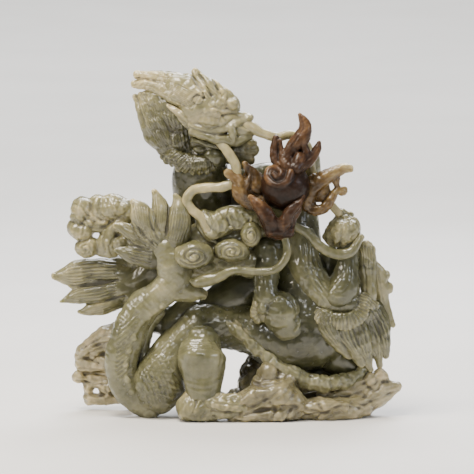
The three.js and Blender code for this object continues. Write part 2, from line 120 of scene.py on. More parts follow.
def limb(stations, sides=20, step=1.2, width=1.0, depth=1.0, lens=1.0, relief=None):
    """A limb swept along its stations. width and depth flatten it; lens above 1 sharpens its edges."""
    line = smooth_line(stations, step)[0]
    centre, radius = line[:, :3], line[:, 3]
    tangent, across, outward = frames(centre)
    start = centre[0] - np.outer(np.sin(CAP_BEND), tangent[0]) * radius[0] * CAP_LENGTH
    finish = centre[-1] + np.outer(np.sin(CAP_BEND[::-1]), tangent[-1]) * radius[-1] * CAP_LENGTH
    centre = np.vstack([start, centre, finish])
    radius = np.concatenate([radius[0] * np.cos(CAP_BEND), radius, radius[-1] * np.cos(CAP_BEND[::-1])])
    across = np.vstack([across[:1].repeat(4, 0), across, across[-1:].repeat(4, 0)])
    outward = np.vstack([outward[:1].repeat(4, 0), outward, outward[-1:].repeat(4, 0)])
    angle = np.arange(sides) * 2 * math.pi / sides
    c, s = np.cos(angle), np.sin(angle)
    face = np.sign(s) * np.abs(s) ** lens
    r = radius[:, None].repeat(sides, 1)
    if relief is not None:
        r = r + relief(angle[None, :], r) * (r > THINNEST_RELIEF)
    verts = (
        centre[:, None, :]
        + (r * c * width)[..., None] * across[:, None, :]
        + (r * face * depth)[..., None] * outward[:, None, :]
    )
    return verts.reshape(-1, 3), tube(len(centre), sides)


def limbs(sides, *lines):
    """Plain limbs that share a number of sides."""
    return [limb(stations, sides=sides) for stations in lines]


def blob(centre, radii, sides=20, turn=0.0):
    """An ellipsoid, turned in the plane of the front view."""
    rows = sides // 2 + 1
    polar = np.linspace(0.06, math.pi - 0.06, rows)
    angle = np.arange(sides) * 2 * math.pi / sides
    x = np.outer(np.sin(polar), np.cos(angle)) * radii[0]
    y = np.outer(np.sin(polar), np.sin(angle)) * radii[1]
    z = np.outer(-np.cos(polar), np.ones(sides)) * radii[2]
    c, s = math.cos(turn), math.sin(turn)
    verts = np.stack([x * c - z * s, y, x * s + z * c], -1).reshape(-1, 3) + np.array(centre, float)
    return verts, tube(rows, sides)


def joined(shapes):
    """One list of vertices and faces from several shapes."""
    verts, faces, base = [], [], 0
    for v, f in shapes:
        verts.append(v)
        faces.extend([[base + k for k in face] for face in f])
        base += len(v)
    return np.vstack(verts), faces


def mesh_of(verts, faces, name="shape"):
    mesh = bpy.data.meshes.new(name)
    mesh.from_pydata(verts.tolist(), [], faces)
    mesh.update()
    return mesh


def fused(shapes, voxel, polish):
    """One skin round all the shapes, softened where they meet, as in carved stone."""
    obj = bpy.data.objects.new("fusing", mesh_of(*joined(shapes)))
    bpy.context.scene.collection.objects.link(obj)
    remesh = obj.modifiers.new("skin", "REMESH")
    remesh.mode = "VOXEL"
    remesh.voxel_size = voxel
    soften = obj.modifiers.new("polish", "SMOOTH")
    soften.factor = 0.5
    soften.iterations = polish
    bpy.context.view_layer.update()
    done = bpy.data.meshes.new_from_object(obj.evaluated_get(bpy.context.evaluated_depsgraph_get()))
    rough = obj.data
    bpy.data.objects.remove(obj)
    bpy.data.meshes.remove(rough)
    return done


def points_of(mesh):
    co = np.empty(len(mesh.vertices) * 3, np.float32)
    mesh.vertices.foreach_get("co", co)
    return co.reshape(-1, 3).astype(float)


def normals_of(mesh):
    no = np.empty(len(mesh.vertices) * 3, np.float32)
    mesh.vertex_normals.foreach_get("vector", no)
    return no.reshape(-1, 3).astype(float)


def move_points(mesh, co):
    mesh.vertices.foreach_set("co", co.astype(np.float32).ravel())
    mesh.update()


def neighbours_mean(mesh, values):
    """Each vertex's mean of its neighbours' values."""
    edges = np.empty(len(mesh.edges) * 2, np.int32)
    mesh.edges.foreach_get("vertices", edges)
    a, b = edges.reshape(-1, 2).T
    n = len(mesh.vertices)
    degree = np.maximum(np.bincount(a, minlength=n) + np.bincount(b, minlength=n), 1)
    columns = values.reshape(n, -1)
    out = np.empty_like(columns)
    for k in range(columns.shape[1]):
        total = np.bincount(a, columns[b, k], n) + np.bincount(b, columns[a, k], n)
        out[:, k] = total / degree
    return out.reshape(values.shape)


# ---------------------------------------------------------------- carving marks
# Each mark is a function of (points, normals) that gives how far each point moves outwards.
def waves(co, size, seed):
    """Smooth noise from crossed waves, about -1 to 1."""
    rng = np.random.default_rng(seed)
    total = np.zeros(len(co))
    weight = 1.0
    for _ in range(OCTAVES):
        for _ in range(WAVES_EACH):
            way = unit(rng.normal(size=3)) * 2 * math.pi / size
            total += weight * np.sin(co @ way + rng.uniform(0, 6.28)) / 3.0
        size *= 0.5
        weight *= 0.5
    return total


def lumps(size, height, seed=1):
    """The slow unevenness that polishing by hand leaves."""
    return lambda co, no: height * waves(co, size, seed)


def facing(no, way):
    """1 where the surface faces the given way, 0 where it faces aside or away."""
    return np.clip(no[:, 1] * way * 1.6, 0, 1)


def near_path(co, path, reach):
    """Distance in the front view from each point to a path of (x, z), inf beyond reach."""
    gap = np.full(len(co), np.inf)
    low, high = path.min(0) - reach, path.max(0) + reach
    xz = co[:, [0, 2]]
    pick = np.nonzero(((xz > low) & (xz < high)).all(1))[0]
    for chunk in np.array_split(pick, max(1, len(pick) // CHUNK)):
        if len(chunk):
            d = np.linalg.norm(xz[chunk][:, None, :] - path[None, :, :], axis=2)
            gap[chunk] = d.min(1)
    return gap


def line_xz(points):
    """A smooth line through (x, z) points of the front view."""
    return smooth_line([(x, 0.0, z) for x, z in points], LINE_STEP)[0][:, [0, 2]]


def cut(*paths, width=0.7, depth=0.5, way=FRONT):
    """Grooves (or ridges, with a negative depth) drawn on the surface in the front view."""
    lines = [line_xz(p) for p in paths]

    def mark(co, no):
        gap = np.full(len(co), np.inf)
        for line in lines:
            gap = np.minimum(gap, near_path(co, line, 3 * width))
        return -depth * np.exp(-((gap / width) ** 2)) * facing(no, way)

    return mark


def combed(first, last, count):
    """Lines spread evenly between two paths of (x, z), as a comb drawn through hair leaves them."""
    a, b = (line_xz(p)[np.linspace(0, len(line_xz(p)) - 1, 12).astype(int)] for p in (first, last))
    return [[tuple(p) for p in a * (1 - f) + b * f] for f in np.linspace(0, 1, count)]


def hair(first, last, count, width, depth):
    """Combed lines, cut as grooves."""
    return cut(*combed(first, last, count), width=width, depth=depth)


def rays(x, z, inner, outer, start, stop, count):
    """Lines fanning out from (x, z) between two angles in degrees."""
    turns = [math.radians(a) for a in np.linspace(start, stop, count)]
    return [[(x + r * math.cos(a), z + r * math.sin(a)) for r in (inner, (inner + outer) / 2, outer)]
        for a in turns]


def knobs(centres, radius, height):
    """Rounded studs at (x, z) in the front view."""

    def mark(co, no):
        out = np.zeros(len(co))
        for x, z in centres:
            d2 = ((co[:, 0] - x) ** 2 + (co[:, 2] - z) ** 2) / radius**2
            out = np.maximum(out, np.sqrt(np.clip(1 - d2, 0, 1)))
        return height * out * facing(no, FRONT)

    return mark


def spiral(x, z, radius, turns, squash=1.0, start=0.0, hand=1):
    """A scroll drawn from its rim to its eye, in the front view."""
    t = np.linspace(0, 1, 14 * max(1, int(turns * 1.5)))
    r = radius * (1 - 0.88 * t)
    a = start + hand * turns * 2 * math.pi * t
    return [(x + r_ * math.cos(a_), z + squash * r_ * math.sin(a_)) for r_, a_ in zip(r, a)]


def along(stations):
    """Gives each point's place along a limb: (length run, angle round it, its radius)."""
    line, run = smooth_line(stations, PLACE_STEP)
    centre, radius = line[:, :3], line[:, 3]
    ahead, across, outward = frames(centre)

    def place(co):
        nearest = np.empty(len(co), int)
        for chunk in np.array_split(np.arange(len(co)), max(1, len(co) // CHUNK)):
            d = ((co[chunk][:, None, :] - centre[None, :, :]) ** 2).sum(2)
            nearest[chunk] = d.argmin(1)
        off = co - centre[nearest]
        a = (off * across[nearest]).sum(1)
        b = (off * outward[nearest]).sum(1)
        extra = np.clip((off * ahead[nearest]).sum(1), -PLACE_STEP, PLACE_STEP)
        return run[nearest] + extra, np.arctan2(b, a), radius[nearest]

    return place


def scales(stations, size=5.0, height=0.45):
    """Overlapping rounded scales on a limb."""
    place = along(stations)

    def mark(co, no):
        run, angle, radius = place(co)
        u = angle * np.median(radius) / size
        v = run / (size * 0.62)
        best = np.full(len(co), -1.0)
        for row in (0, 1):
            q = np.floor((v - row) / 2) * 2 + row
            x = u + 0.5 * (row % 2)
            x = (x - np.round(x)) * 2
            y = (v - q) / 2
            dome = 1 - np.sqrt(x**2 * 0.9 + (y - 0.15) ** 2 * 1.3)
            best = np.maximum(best, dome)
        return height * (np.clip(best, 0, 0.55) / 0.55 - 0.6)

    return mark


def bands(stations, pitch, depth, sharp=3.0):
    """Grooves round a limb, a pitch apart."""
    place = along(stations)

    def mark(co, no):
        run = place(co)[0]
        return -depth * (0.5 + 0.5 * np.cos(2 * math.pi * run / pitch)) ** sharp

    return mark


def hatch(pitch, depth, turn, way=FRONT, bend=0.0):
    """Fine parallel cuts in the front view, turned by an angle."""

    def mark(co, no):
        u = co[:, 0] * math.cos(turn) + co[:, 2] * math.sin(turn) + bend * np.sin(co[:, 0] * 0.3)
        return -depth * (0.5 + 0.5 * np.cos(2 * math.pi * u / pitch)) ** 2 * facing(no, way)

    return mark


# ---------------------------------------------------------------- stone materials
def colour(code):
    """A linear colour from an sRGB hex code."""
    parts = [int(code[k : k + 2], 16) / 255 for k in (1, 3, 5)]
    return tuple(p / 12.92 if p <= 0.04045 else ((p + 0.055) / 1.055) ** 2.4 for p in parts) + (1.0,)


def add(tree, kind, links=None, **settings):
    """Adds a node with its settings, and links its named inputs."""
    node = tree.nodes.new(kind)
    for name, value in settings.items():
        setattr(node, name, value)
    for name, value in (links or {}).items():
        socket = node.inputs[name]
        if isinstance(value, bpy.types.NodeSocket):
            tree.links.new(value, socket)
        else:
            socket.default_value = value
    return node


def ramp(tree, factor, stops):
    """A colour ramp node: stops are (place, hex code)."""
    node = add(tree, "ShaderNodeValToRGB", {"Fac": factor})
    marks = node.color_ramp.elements
    while len(marks) < len(stops):
        marks.new(0.5)
    for mark, (place, code) in zip(marks, stops):
        mark.position = place
        mark.color = colour(code)
    return node.outputs["Color"]


def stone(
    name, tones, groove, vein, rough, translucency=0.45, reach=(3.4, 3.6, 2.2), shine=0.5, wear=0.3,
):
    """Polished stone. tones run along each piece's own 'tone'; grooves are darkened with painted shade and
    are less polished.
    """
    mat = bpy.data.materials.new(name)
    mat.use_nodes = True
    tree = mat.node_tree
    shader = tree.nodes["Principled BSDF"]
    place = add(tree, "ShaderNodeTexCoord").outputs["Object"]
    # A noise scale is one over a size in metres: clouds 17 mm across, fibres 2.4 mm, swells 3.8 mm and
    # grain 1.1 mm. Real jade fibres and polishing marks are too fine to show, so these are coarser.
    cloud = add(tree, "ShaderNodeTexNoise", {"Vector": place, "Scale": 60.0, "Detail": 4.0,
            "Roughness": 0.55})
    fibre = add(tree, "ShaderNodeTexNoise", {"Vector": place, "Scale": 420.0, "Detail": 5.0,
            "Distortion": 1.2})
    tone = add(tree, "ShaderNodeAttribute", attribute_name="tone")
    groove_shade = add(tree, "ShaderNodeAttribute", attribute_name="groove_shade")
    # the cloud's level that leaves the tone alone, and how far the cloud moves it
    middle, strength = 0.57, 0.7
    drift = add(tree, "ShaderNodeMath", {0: cloud.outputs["Fac"], 1: middle}, operation="SUBTRACT")
    mixed = add(tree, "ShaderNodeMath", {0: drift.outputs[0], 1: strength, 2: tone.outputs["Fac"]},
        operation="MULTIPLY_ADD")
    base = ramp(tree, mixed.outputs[0], tones)
    veins = ramp(tree, fibre.outputs["Fac"], [(0.42, "#ffffff"), (0.62, vein)])
    veined = add(tree, "ShaderNodeMix", {0: 0.2, 6: base, 7: veins}, data_type="RGBA", blend_type="MULTIPLY")
    # Painted shade: the deeper a point lies in a groove, the more its colour turns to the groove colour
    shaded_colour = add(tree, "ShaderNodeMix", {0: groove_shade.outputs["Fac"], 6: veined.outputs[2], 7: colour(groove)},
        data_type="RGBA")
    dull = add(tree, "ShaderNodeMath", {0: groove_shade.outputs["Fac"], 1: 0.3, 2: rough}, operation="MULTIPLY_ADD")
    grain = add(tree, "ShaderNodeTexNoise", {"Vector": place, "Scale": 900.0, "Detail": 3.0})
    swell = add(tree, "ShaderNodeTexNoise", {"Vector": place, "Scale": 260.0, "Detail": 2.0})
    worn = add(tree, "ShaderNodeBump", {"Height": swell.outputs["Fac"], "Strength": wear, "Distance": 0.0008})
    skin = add(tree, "ShaderNodeBump", {"Height": grain.outputs["Fac"], "Strength": 0.05, "Distance": 0.0004,
            "Normal": worn.outputs["Normal"]})
    tree.links.new(shaded_colour.outputs[2], shader.inputs["Base Color"])
    tree.links.new(dull.outputs[0], shader.inputs["Roughness"])
    tree.links.new(skin.outputs["Normal"], shader.inputs["Normal"])
    shader.inputs["Subsurface Weight"].default_value = translucency
    shader.inputs["Subsurface Radius"].default_value = tuple(reach)
    shader.inputs["Subsurface Scale"].default_value = MM
    shader.inputs["IOR"].default_value = 1.6  # nephrite's own
    shader.inputs["Specular IOR Level"].default_value = shine
    return mat


# Nephrite jade, carved and polished by hand: a soft waxy sheen on the rounds, dull grooves darkened with
# painted shade.
CELADON = stone(
    "polished_celadon_jade",
    [(0.0, "#34341f"), (0.35, "#58573d"), (0.65, "#7a7757"), (1.0, "#aaa27c")],
    "#2b2916", "#d6d2b8", rough=0.21,
)
# The same jade where it runs paler, kept for the raised detail that was rubbed the most.
PALE = stone(
    "polished_pale_jade",
    [(0.0, "#3c3a22"), (0.35, "#626044"), (0.65, "#8b8562"), (1.0, "#bfb084")],
    "#3a361f", "#ddd6bb", rough=0.21,
)
# The stone's own iron-stained skin, polished: nearly opaque, little shine; painted shade makes its grooves
# almost black.
RUSSET = stone(
    "polished_russet_skin",
    [(0.0, "#150c07"), (0.3, "#291b12"), (0.5, "#3d2a1c"), (0.7, "#573e28"), (0.85, "#775b3c"),
        (1.0, "#a38c68")],
    "#0e0806", "#c9b294", rough=0.3, translucency=0.15, reach=(2.0, 1.4, 0.8), shine=0.16, wear=0.1,
)
# The thin edge of that skin: light gets through, so it runs from brown to honey at the tips.
AMBER = stone(
    "polished_amber_skin",
    [(0.0, "#24180d"), (0.3, "#4a381f"), (0.55, "#6d5734"), (0.8, "#948257"), (1.0, "#c6bb92")],
    "#352513", "#d6c59e", rough=0.24, reach=(3.2, 2.6, 1.4), shine=0.3, wear=0.12,
)
# The jade's outer rind, ground and only rubbed over: chalkier and yellower; painted shade turns its pits
# brown.
WEATHERED = stone(
    "weathered_jade_rind",
    [(0.0, "#3d3620"), (0.3, "#655f45"), (0.6, "#898161"), (0.85, "#a39875"), (1.0, "#c0b08c")],
    "#423a22", "#d3c3a4", rough=0.23, translucency=0.4,
)


# ---------------------------------------------------------------- making a piece
def shade_and_rim_relief(mesh, co):
    """How each point lies to its surroundings: 1 deep in a groove, -1 on a sharp rim."""
    no = normals_of(mesh)
    mean = co
    for _ in range(3):
        mean = neighbours_mean(mesh, mean)
    rise = ((mean - co) * no).sum(1)
    rise = neighbours_mean(mesh, rise)
    return np.clip(rise / FULL_HOLLOW, -1, 1)


def piece(name, nodes, material, core=(), fine=(), voxel=0.5, polish=4, marks=(), tone=None):
    """A carved piece: core shapes fused in one skin, with fine shapes laid in, then marks cut."""
    meshes = []
    if core:
        meshes.append(fused(core, voxel, polish))
    if fine:
        meshes.append(mesh_of(*joined(fine)))
    if len(meshes) == 2:
        first, second = meshes
        a, b = points_of(first), points_of(second)
        faces = [list(f.vertices) for f in first.polygons]
        faces += [[k + len(a) for k in f.vertices] for f in second.polygons]
        mesh = mesh_of(np.vstack([a, b]), faces)
    else:
        mesh = meshes[0]
    mesh.name = name
    co = points_of(mesh)
    for mark in marks:
        no = normals_of(mesh)
        co = co + no * mark(co, no)[:, None]
        move_points(mesh, co)
    co[:, 2] = np.maximum(co[:, 2], 0.0)
    low, high = np.array(cad_box[0]) / MM, np.array(cad_box[1]) / MM
    co = np.clip(co, low - BOX_SLACK, high + BOX_SLACK)
    move_points(mesh, co)
    relief = shade_and_rim_relief(mesh, co)
    # Painted shade: how deep each point lies in a groove, for the material to darken it
    groove_shade = mesh.attributes.new("groove_shade", "FLOAT", "POINT")
    groove_shade.data.foreach_set("value", np.clip(relief - 0.1, 0, 1).astype(np.float32))
    shade = mesh.attributes.new("tone", "FLOAT", "POINT")
    values = np.full(len(co), 0.45) if tone is None else np.asarray(tone(co), float)
    # Painted rim light: sharp rims are made paler
    values = values + RIM_LIGHT * np.clip(-relief - 0.1, 0, 1)
    shade.data.foreach_set("value", np.clip(values, 0, 1).astype(np.float32))
    move_points(mesh, co * MM)
    mesh.polygons.foreach_set("use_smooth", np.ones(len(mesh.polygons), bool))
    mesh.materials.clear()
    mesh.materials.append(material)
    obj = bpy.data.objects.new(name, mesh)
    bpy.context.scene.collection.objects.link(obj)
    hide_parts(*nodes)
    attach(obj, "root")


# ---------------------------------------------------------------- centre lines shared by several pieces
NECK = [(-9, 1, 139, 8), (-10.5, 4, 128, 12.5), (-12, 7, 117, 14.3), (-10, 10, 106, 14.8), (-5, 12, 93, 14.5)]
ARCH = [
    (-5, 12, 90, 13.5), (6, 15.3, 103, 12.5), (19, 15.5, 109, 12.9), (31, 12, 104, 12.9),
    (35, 8, 90, 13.4), (36, 5, 76, 13.5),
]
BELLY = [(36, 4.5, 78, 13), (39.5, 1.5, 60, 16.8), (43, -1, 43, 18.5), (31, -2, 37, 16), (17, -2, 42, 13)]
HAUNCH = [(20, -2, 41.5, 12.2), (1, -2, 45, 11), (-13, -3, 44, 11.5)]
TAIL_ROOT = [(-14, -6, 44, 9.3), (-25, -8, 33, 10), (-33, -9, 20, 12), (-36, -9, 10, 9.5)]
TAIL_BAND = [
    (-36.5, -9.5, 3.5, 6.5), (-46, -9.5, 12, 7.6), (-51, -9.5, 22.5, 8.4), (-50, -10, 35, 8.8),
    (-47, -10, 46, 8.6), (-40, -10, 56, 8.2), (-30.5, -10, 63.5, 7.8), (-25, -10, 71, 8.6),
    (-26.5, -11, 79, 8.4), (-30, -11.5, 87, 6.6),
]


def mottled(level, spread=0.12, size=22):
    """A tone that drifts round one level."""
    return lambda co: level + spread * waves(co, size, 5)


# ---------------------------------------------------------------- body of the dragon
def make_body():
    piece(
        "neck_scaled", ["neck"], CELADON,
        core=[limb(NECK, sides=32), blob((-5, -2, 131), (8, 8, 7))],
        voxel=0.55, marks=[scales(NECK, 5.2, 0.24), lumps(24, 0.35, 2)], tone=mottled(0.24),
    )
    piece(
        "back_arch_scaled", ["back_arch"], CELADON,
        core=[
            limb(ARCH, sides=36), blob((19, 0, 93), (6, 8, 6)),
            limb([(8, 1, 115, 5.5), (14, 1, 119.5, 6), (22, 3, 121, 6), (30, 6, 118, 7)]),
            limb([(40, 2, 135.5, 2.5), (42.5, 2, 130.5, 4.5), (42.5, 3, 123.5, 6), (40.5, 6, 115, 8)]),
        ],
        voxel=0.6, marks=[scales(ARCH, 5.4, 0.32), lumps(26, 0.4, 4)], tone=mottled(0.42),
    )
    piece(
        "belly_scaled", ["belly"], CELADON,
        core=[
            limb(BELLY[:3], sides=36), limb([(43.5, -1.5, 41, 18.3)] + BELLY[3:], sides=36),
            blob((52, -2, 38), (10, 14, 12)),
            blob((10, 9, 58.5), (15, 7, 9), turn=0.2), blob((20, 9, 66), (9, 6, 8)),
            *limbs(24, [(-12, 4, 48.5, 6.5), (-2, 5, 55.5, 9.5), (8.5, 6, 61, 11), (19, 4, 65.5, 9)],
                [(50.5, 1, 33.5, 11), (60.5, 1, 26.5, 10), (68, 0, 20.5, 6.5), (74, 0, 17, 4)]),
            limb([(36, 1, 24.5, 4.5), (47, 1, 21, 6), (58, 1, 19.5, 6), (69, 0, 17.5, 4.5)]),
        ],
        voxel=0.6, polish=8, marks=[scales(BELLY, 5.8, 0.26), lumps(30, 0.5, 6)], tone=mottled(0.19),
    )
    piece(
        "haunch_scaled", ["haunch"], CELADON,
        core=[
            limb(HAUNCH, sides=32), blob((-22, 2, 48), (13, 5, 8), turn=0.75),
            limb([(-17, 3, 43.5, 8.5), (-24.5, 4, 46, 8.5), (-30.5, 5, 46, 7), (-36, 4, 46, 5.5)], sides=24),
            limb([(-24, 3, 41.5, 6), (-26.5, 1, 35.5, 5), (-28, -1, 28.5, 6)]),
        ],
        polish=5, marks=[scales(HAUNCH, 4.6, 0.34), lumps(14, 0.45, 8)], tone=mottled(0.34),
    )
    thigh = [(-10.5, -13, 39.5, 9), (-11.5, -16.5, 32, 12.5), (-10.5, -18, 23.5, 11), (-10.5, -20.5, 13, 8.5)]
    knee = combed([(-23, 36.5), (-18, 40), (-10.5, 41), (-4, 40), (0, 37)],
        [(-23, 33.5), (-17, 37), (-10, 38), (-3.5, 37), (1, 33.5)], 4)
    shin = combed([(-19, 24), (-12, 22.5), (-2, 24)], [(-18.5, 16), (-10.5, 14.5), (-2.5, 16)], 4)
    piece(
        "near_thigh_polished", ["near_thigh"], CELADON, core=[limb(thigh, sides=32)],
        voxel=0.45, marks=[cut(*knee, width=0.45, depth=0.3), cut(*shin, width=0.7, depth=0.12),
            lumps(15, 0.5, 3), lumps(5, 0.08, 4)], tone=mottled(0.52),
    )
    piece(
        "near_hind_foot_carved", ["near_hind_foot"], PALE,
        core=[
            limb([(-17, -21, 8, 7), (-12, -22, 7.5, 7.5), (-4.5, -22, 7.5, 6.5), (-1, -22, 7.5, 6)],
                sides=24),
            blob((-18, -21, 6.5), (6, 7.6, 7)), blob((-12, -21, 3), (11, 7.5, 4)),
            blob((-10.5, -21, 11.5), (10, 6.5, 3)),
            *limbs(16, [(-7, -23, 12, 3.5), (2, -24, 11.5, 3), (10, -24, 11, 2.8), (15, -24, 9.5, 2)],
                [(-4.5, -26, 9, 3.5), (3, -26, 8.5, 3.3), (9.5, -25, 7, 3), (13.5, -24, 4.5, 1.8)],
                [(-4.5, -24, 5, 3.5), (2, -24, 4.5, 3.3), (8, -23, 4, 3)]),
        ],
        voxel=0.42, polish=5,
        marks=[
            cut([(-16, 14.5), (-14, 10.5), (-15.5, 5.5)], [(-5, 10.5), (2, 9.5), (11, 8.5)],
                [(-6, 6.5), (1, 5.5), (9, 5)], [(-10, 11.5), (-8, 8.5), (-4, 7)], width=0.6, depth=0.5),
            lumps(11, 0.5, 10), lumps(4.5, 0.16, 11),
        ],
        tone=lambda co: 0.66 + 0.12 * waves(co, 12, 5) - 0.02 * np.clip(9 - co[:, 2], 0, 9),
    )
    leg = [(-10, 8, 45, 9), (-15, 14, 31, 9), (-12, 18, 17, 7.3), (-14, 18.5, 6, 7)]
    piece(
        "far_hind_leg_carved", ["far_hind_leg"], CELADON,
        core=[limb(leg, sides=28)] + [limb([(-12, y, 4.5, 4), (-2, y, 4.5, 3.4), (4, y, 2.6, 2)], sides=16)
            for y in (15.5, 19, 22.3)],
        voxel=0.6, marks=[lumps(16, 0.4, 9)], tone=mottled(0.4),
    )


# ---------------------------------------------------------------- tail
def make_tail():
    root_cuts = combed([(-43.5, 22), (-39, 14), (-37, 6)], [(-30.5, 31), (-26, 24), (-23, 14)], 9)
    piece(
        "tail_root_hatched", ["tail_root"], CELADON,
        core=[limb(TAIL_ROOT, sides=32), blob((-33.5, -9, 16), (13.6, 12, 14.5), sides=28),
            blob((-33, -7, 21.5), (10, 9.5, 10.5)), blob((-26, -8, 25.5), (6, 8, 7))],
        voxel=0.45,
        marks=[
            cut(*root_cuts, width=0.5, depth=0.18), hatch(1.7, 0.07, 0.9, bend=1.5),
            scales([(-41, -12, 29, 9), (-28, -12, 20, 11)], 3.4, 0.3),
            hatch(2.6, 0.2, 0.5, way=BACK), lumps(15, 0.5, 12),
        ],
        tone=mottled(0.5),
    )
    studs = [(-30.5, 57), (-41, 48.5), (-45, 41.5), (-47.5, 34.5), (-49, 27.5), (-48.5, 20), (-46.5, 13.5)]
    ridge = [(-24, 60.5), (-30.5, 57), (-37, 52), (-41, 48.5), (-45, 41.5), (-47.5, 34.5), (-49, 27.5),
        (-48.5, 20), (-45.5, 12)]
    lower = [(-20.5, 58.5), (-29, 53.5), (-35.5, 49), (-39, 43), (-41, 35), (-42, 29)]
    slants = combed([(-53, 45), (-48, 49), (-43.5, 54)], [(-53.5, 20), (-50, 23), (-47, 27)], 12)
    marks = [
        bands(TAIL_BAND, 2.4, 0.08), cut(*slants, width=0.75, depth=0.38), cut(ridge, width=1.3, depth=-0.5),
        cut(lower, width=0.6, depth=0.35),
        knobs(studs, 1.8, 0.55), lumps(16, 0.5, 13), lumps(5, 0.12, 14),
    ]
    piece(
        "tail_outer_band_studded", ["tail_outer_band"], CELADON,
        core=[limb(TAIL_BAND[:5], sides=28, depth=0.82),
            limb([(-33, -4, 53, 4), (-37, -4, 48, 4), (-39.5, -4, 42, 3.8), (-40.5, -4, 35, 3.8),
                (-40.5, -5, 29.5, 4.5), (-38.5, -6, 24.5, 4.5)])],
        voxel=0.42, marks=marks, tone=mottled(0.6, 0.15),
    )
    piece(
        "tail_rising_band_studded", ["tail_rising_band"], CELADON,
        core=[limb(TAIL_BAND[4:], sides=28, depth=0.82),
            limb([(-23, -9, 64, 6), (-15.5, -9, 63, 5), (-10, -8, 62, 3)], sides=18)],
        voxel=0.42, marks=marks, tone=mottled(0.6, 0.15),
    )
    leaves = [
        [(-31, -9, 80.5, 7), (-39.5, -11, 81, 5.3), (-47, -12, 83, 4.3), (-52, -12, 84.5, 2.5),
            (-54.5, -12, 85, 1.3)],
        [(-32, -9, 87.5, 6), (-39, -9, 89.5, 5.5), (-46, -10, 93, 4.3), (-51, -10.5, 96, 2.8),
            (-54.5, -10.5, 97, 1.3)],
        [(-33.5, -11.5, 89, 6), (-38.5, -13, 96.5, 6.3), (-41.5, -13.5, 103.5, 5.6), (-43.5, -13, 107.5, 3.8),
            (-45.5, -12.5, 109.6, 1.6)],
        [(-31, -10, 88.5, 6), (-31, -11, 99, 6.3), (-31.5, -11.5, 105, 5), (-33, -11, 110.5, 3.2),
            (-35, -11, 114.6, 1.3)],
        [(-25, -11, 88, 6.5), (-23, -12.5, 97, 6.8), (-22.5, -13, 104, 5.4), (-23, -12, 109, 3.2),
            (-24.5, -12, 112.6, 1.4)],
    ]
    marks = [
        hair([(-36, 86), (-46, 87), (-53.5, 86)], [(-37, 77.5), (-46, 80), (-53.5, 84.5)], 6, 0.45, 0.4),
        hair([(-37, 91), (-43, 96), (-49.5, 98.5), (-54.5, 98)], [(-37, 85.5), (-42, 88), (-48.5, 92.5),
                (-54.5, 97)], 7, 0.45, 0.4),
        hair([(-45.5, 108.5), (-44, 101), (-41, 91.5)], [(-37.5, 106.5), (-37, 100), (-34, 92.5)], 7, 0.45,
            0.4),
        hair([(-34.5, 114), (-33.5, 105.5), (-34.5, 95.5)], [(-30.5, 114), (-28, 106.5), (-29, 94.5)], 6,
            0.45, 0.4),
        hair([(-24, 111), (-26, 102), (-28, 91.5)], [(-20.5, 109.5), (-17.5, 100), (-20, 89.5)], 7, 0.45,
            0.4),
        cut([(-37, 107), (-36.5, 100), (-33, 91.5)], [(-27.5, 108), (-28, 101), (-29, 92.5)],
            [(-45, 99.5), (-40.5, 93.5), (-36, 89)], [(-54, 95), (-47, 89), (-39, 85.5)], width=0.6,
            depth=0.6),
        hair([(-35.5, 90.5), (-32, 87.5), (-28, 85.5)], [(-37, 88), (-33.5, 85), (-29.5, 83.5)], 3, 0.5, 0.4),
        lumps(12, 0.3, 42),
    ]
    piece(
        "tail_tuft_striated", ["tail_tuft"], PALE,
        core=[limb(s, sides=28, depth=0.8, lens=1.1) for s in leaves] + [
            blob((-31.5, -9.5, 93.5), (13, 5.8, 12.5)), blob((-39, -9.5, 86.5), (10.5, 5, 7), turn=-0.3),
            blob((-41.5, -9.5, 95.5), (6, 3, 6)), blob((-24, -10.5, 99), (7, 5, 8.5)),
        ],
        voxel=0.4, polish=3, marks=marks,
        tone=lambda co: 0.28 + 0.012 * (co[:, 2] - 84) + 0.007 * (-32 - co[:, 0]) + 0.08 * waves(co, 10, 4),
    )
    plumes = [
        [(-42, 7, 67, 8.5), (-53, 6, 69.5, 8), (-64.5, 5.5, 71.5, 6.8), (-72, 5, 71, 6.5), (-77, 5, 70, 5.8),
            (-82, 4.5, 69.5, 4), (-85.5, 4, 69.5, 1.8)],
        [(-44.5, 4.5, 62.5, 7.5), (-54.5, 4, 62.5, 6.5), (-64.5, 3.5, 62, 5.5), (-72, 3.5, 60, 4.8),
            (-78, 3.5, 58, 2.8), (-82, 3.5, 56.5, 1.1)],
        [(-46, 6, 60, 6), (-57, 5, 56.5, 5.8), (-64.5, 4.5, 53.5, 4.5), (-70, 4, 51.5, 2.5),
            (-73, 4, 51.5, 1.2)],
    ]
    marks = [
        hair([(-54.5, 77.5), (-67, 78), (-77, 76), (-85, 71)], [(-54.5, 68.5), (-67, 67), (-76, 66.5),
                (-84.5, 69.5)], 7, 0.5, 0.4),
        hair([(-54.5, 67.5), (-66, 66), (-75, 63), (-81.5, 57.5)], [(-54.5, 60), (-64.5, 57), (-72, 57),
                (-80.5, 56.5)], 6, 0.5, 0.4),
        hair([(-49.5, 59.5), (-59.5, 57), (-67, 54.5), (-72.5, 52.5)], [(-51, 55.5), (-59.5, 52), (-66, 50.5),
                (-71.5, 51.5)], 5, 0.5, 0.4),
        cut([(-53, 68), (-64.5, 66), (-77, 64.5)], [(-50, 60), (-62, 56.5), (-71, 55)], width=0.6, depth=0.9),
        lumps(14, 0.4, 43),
    ]
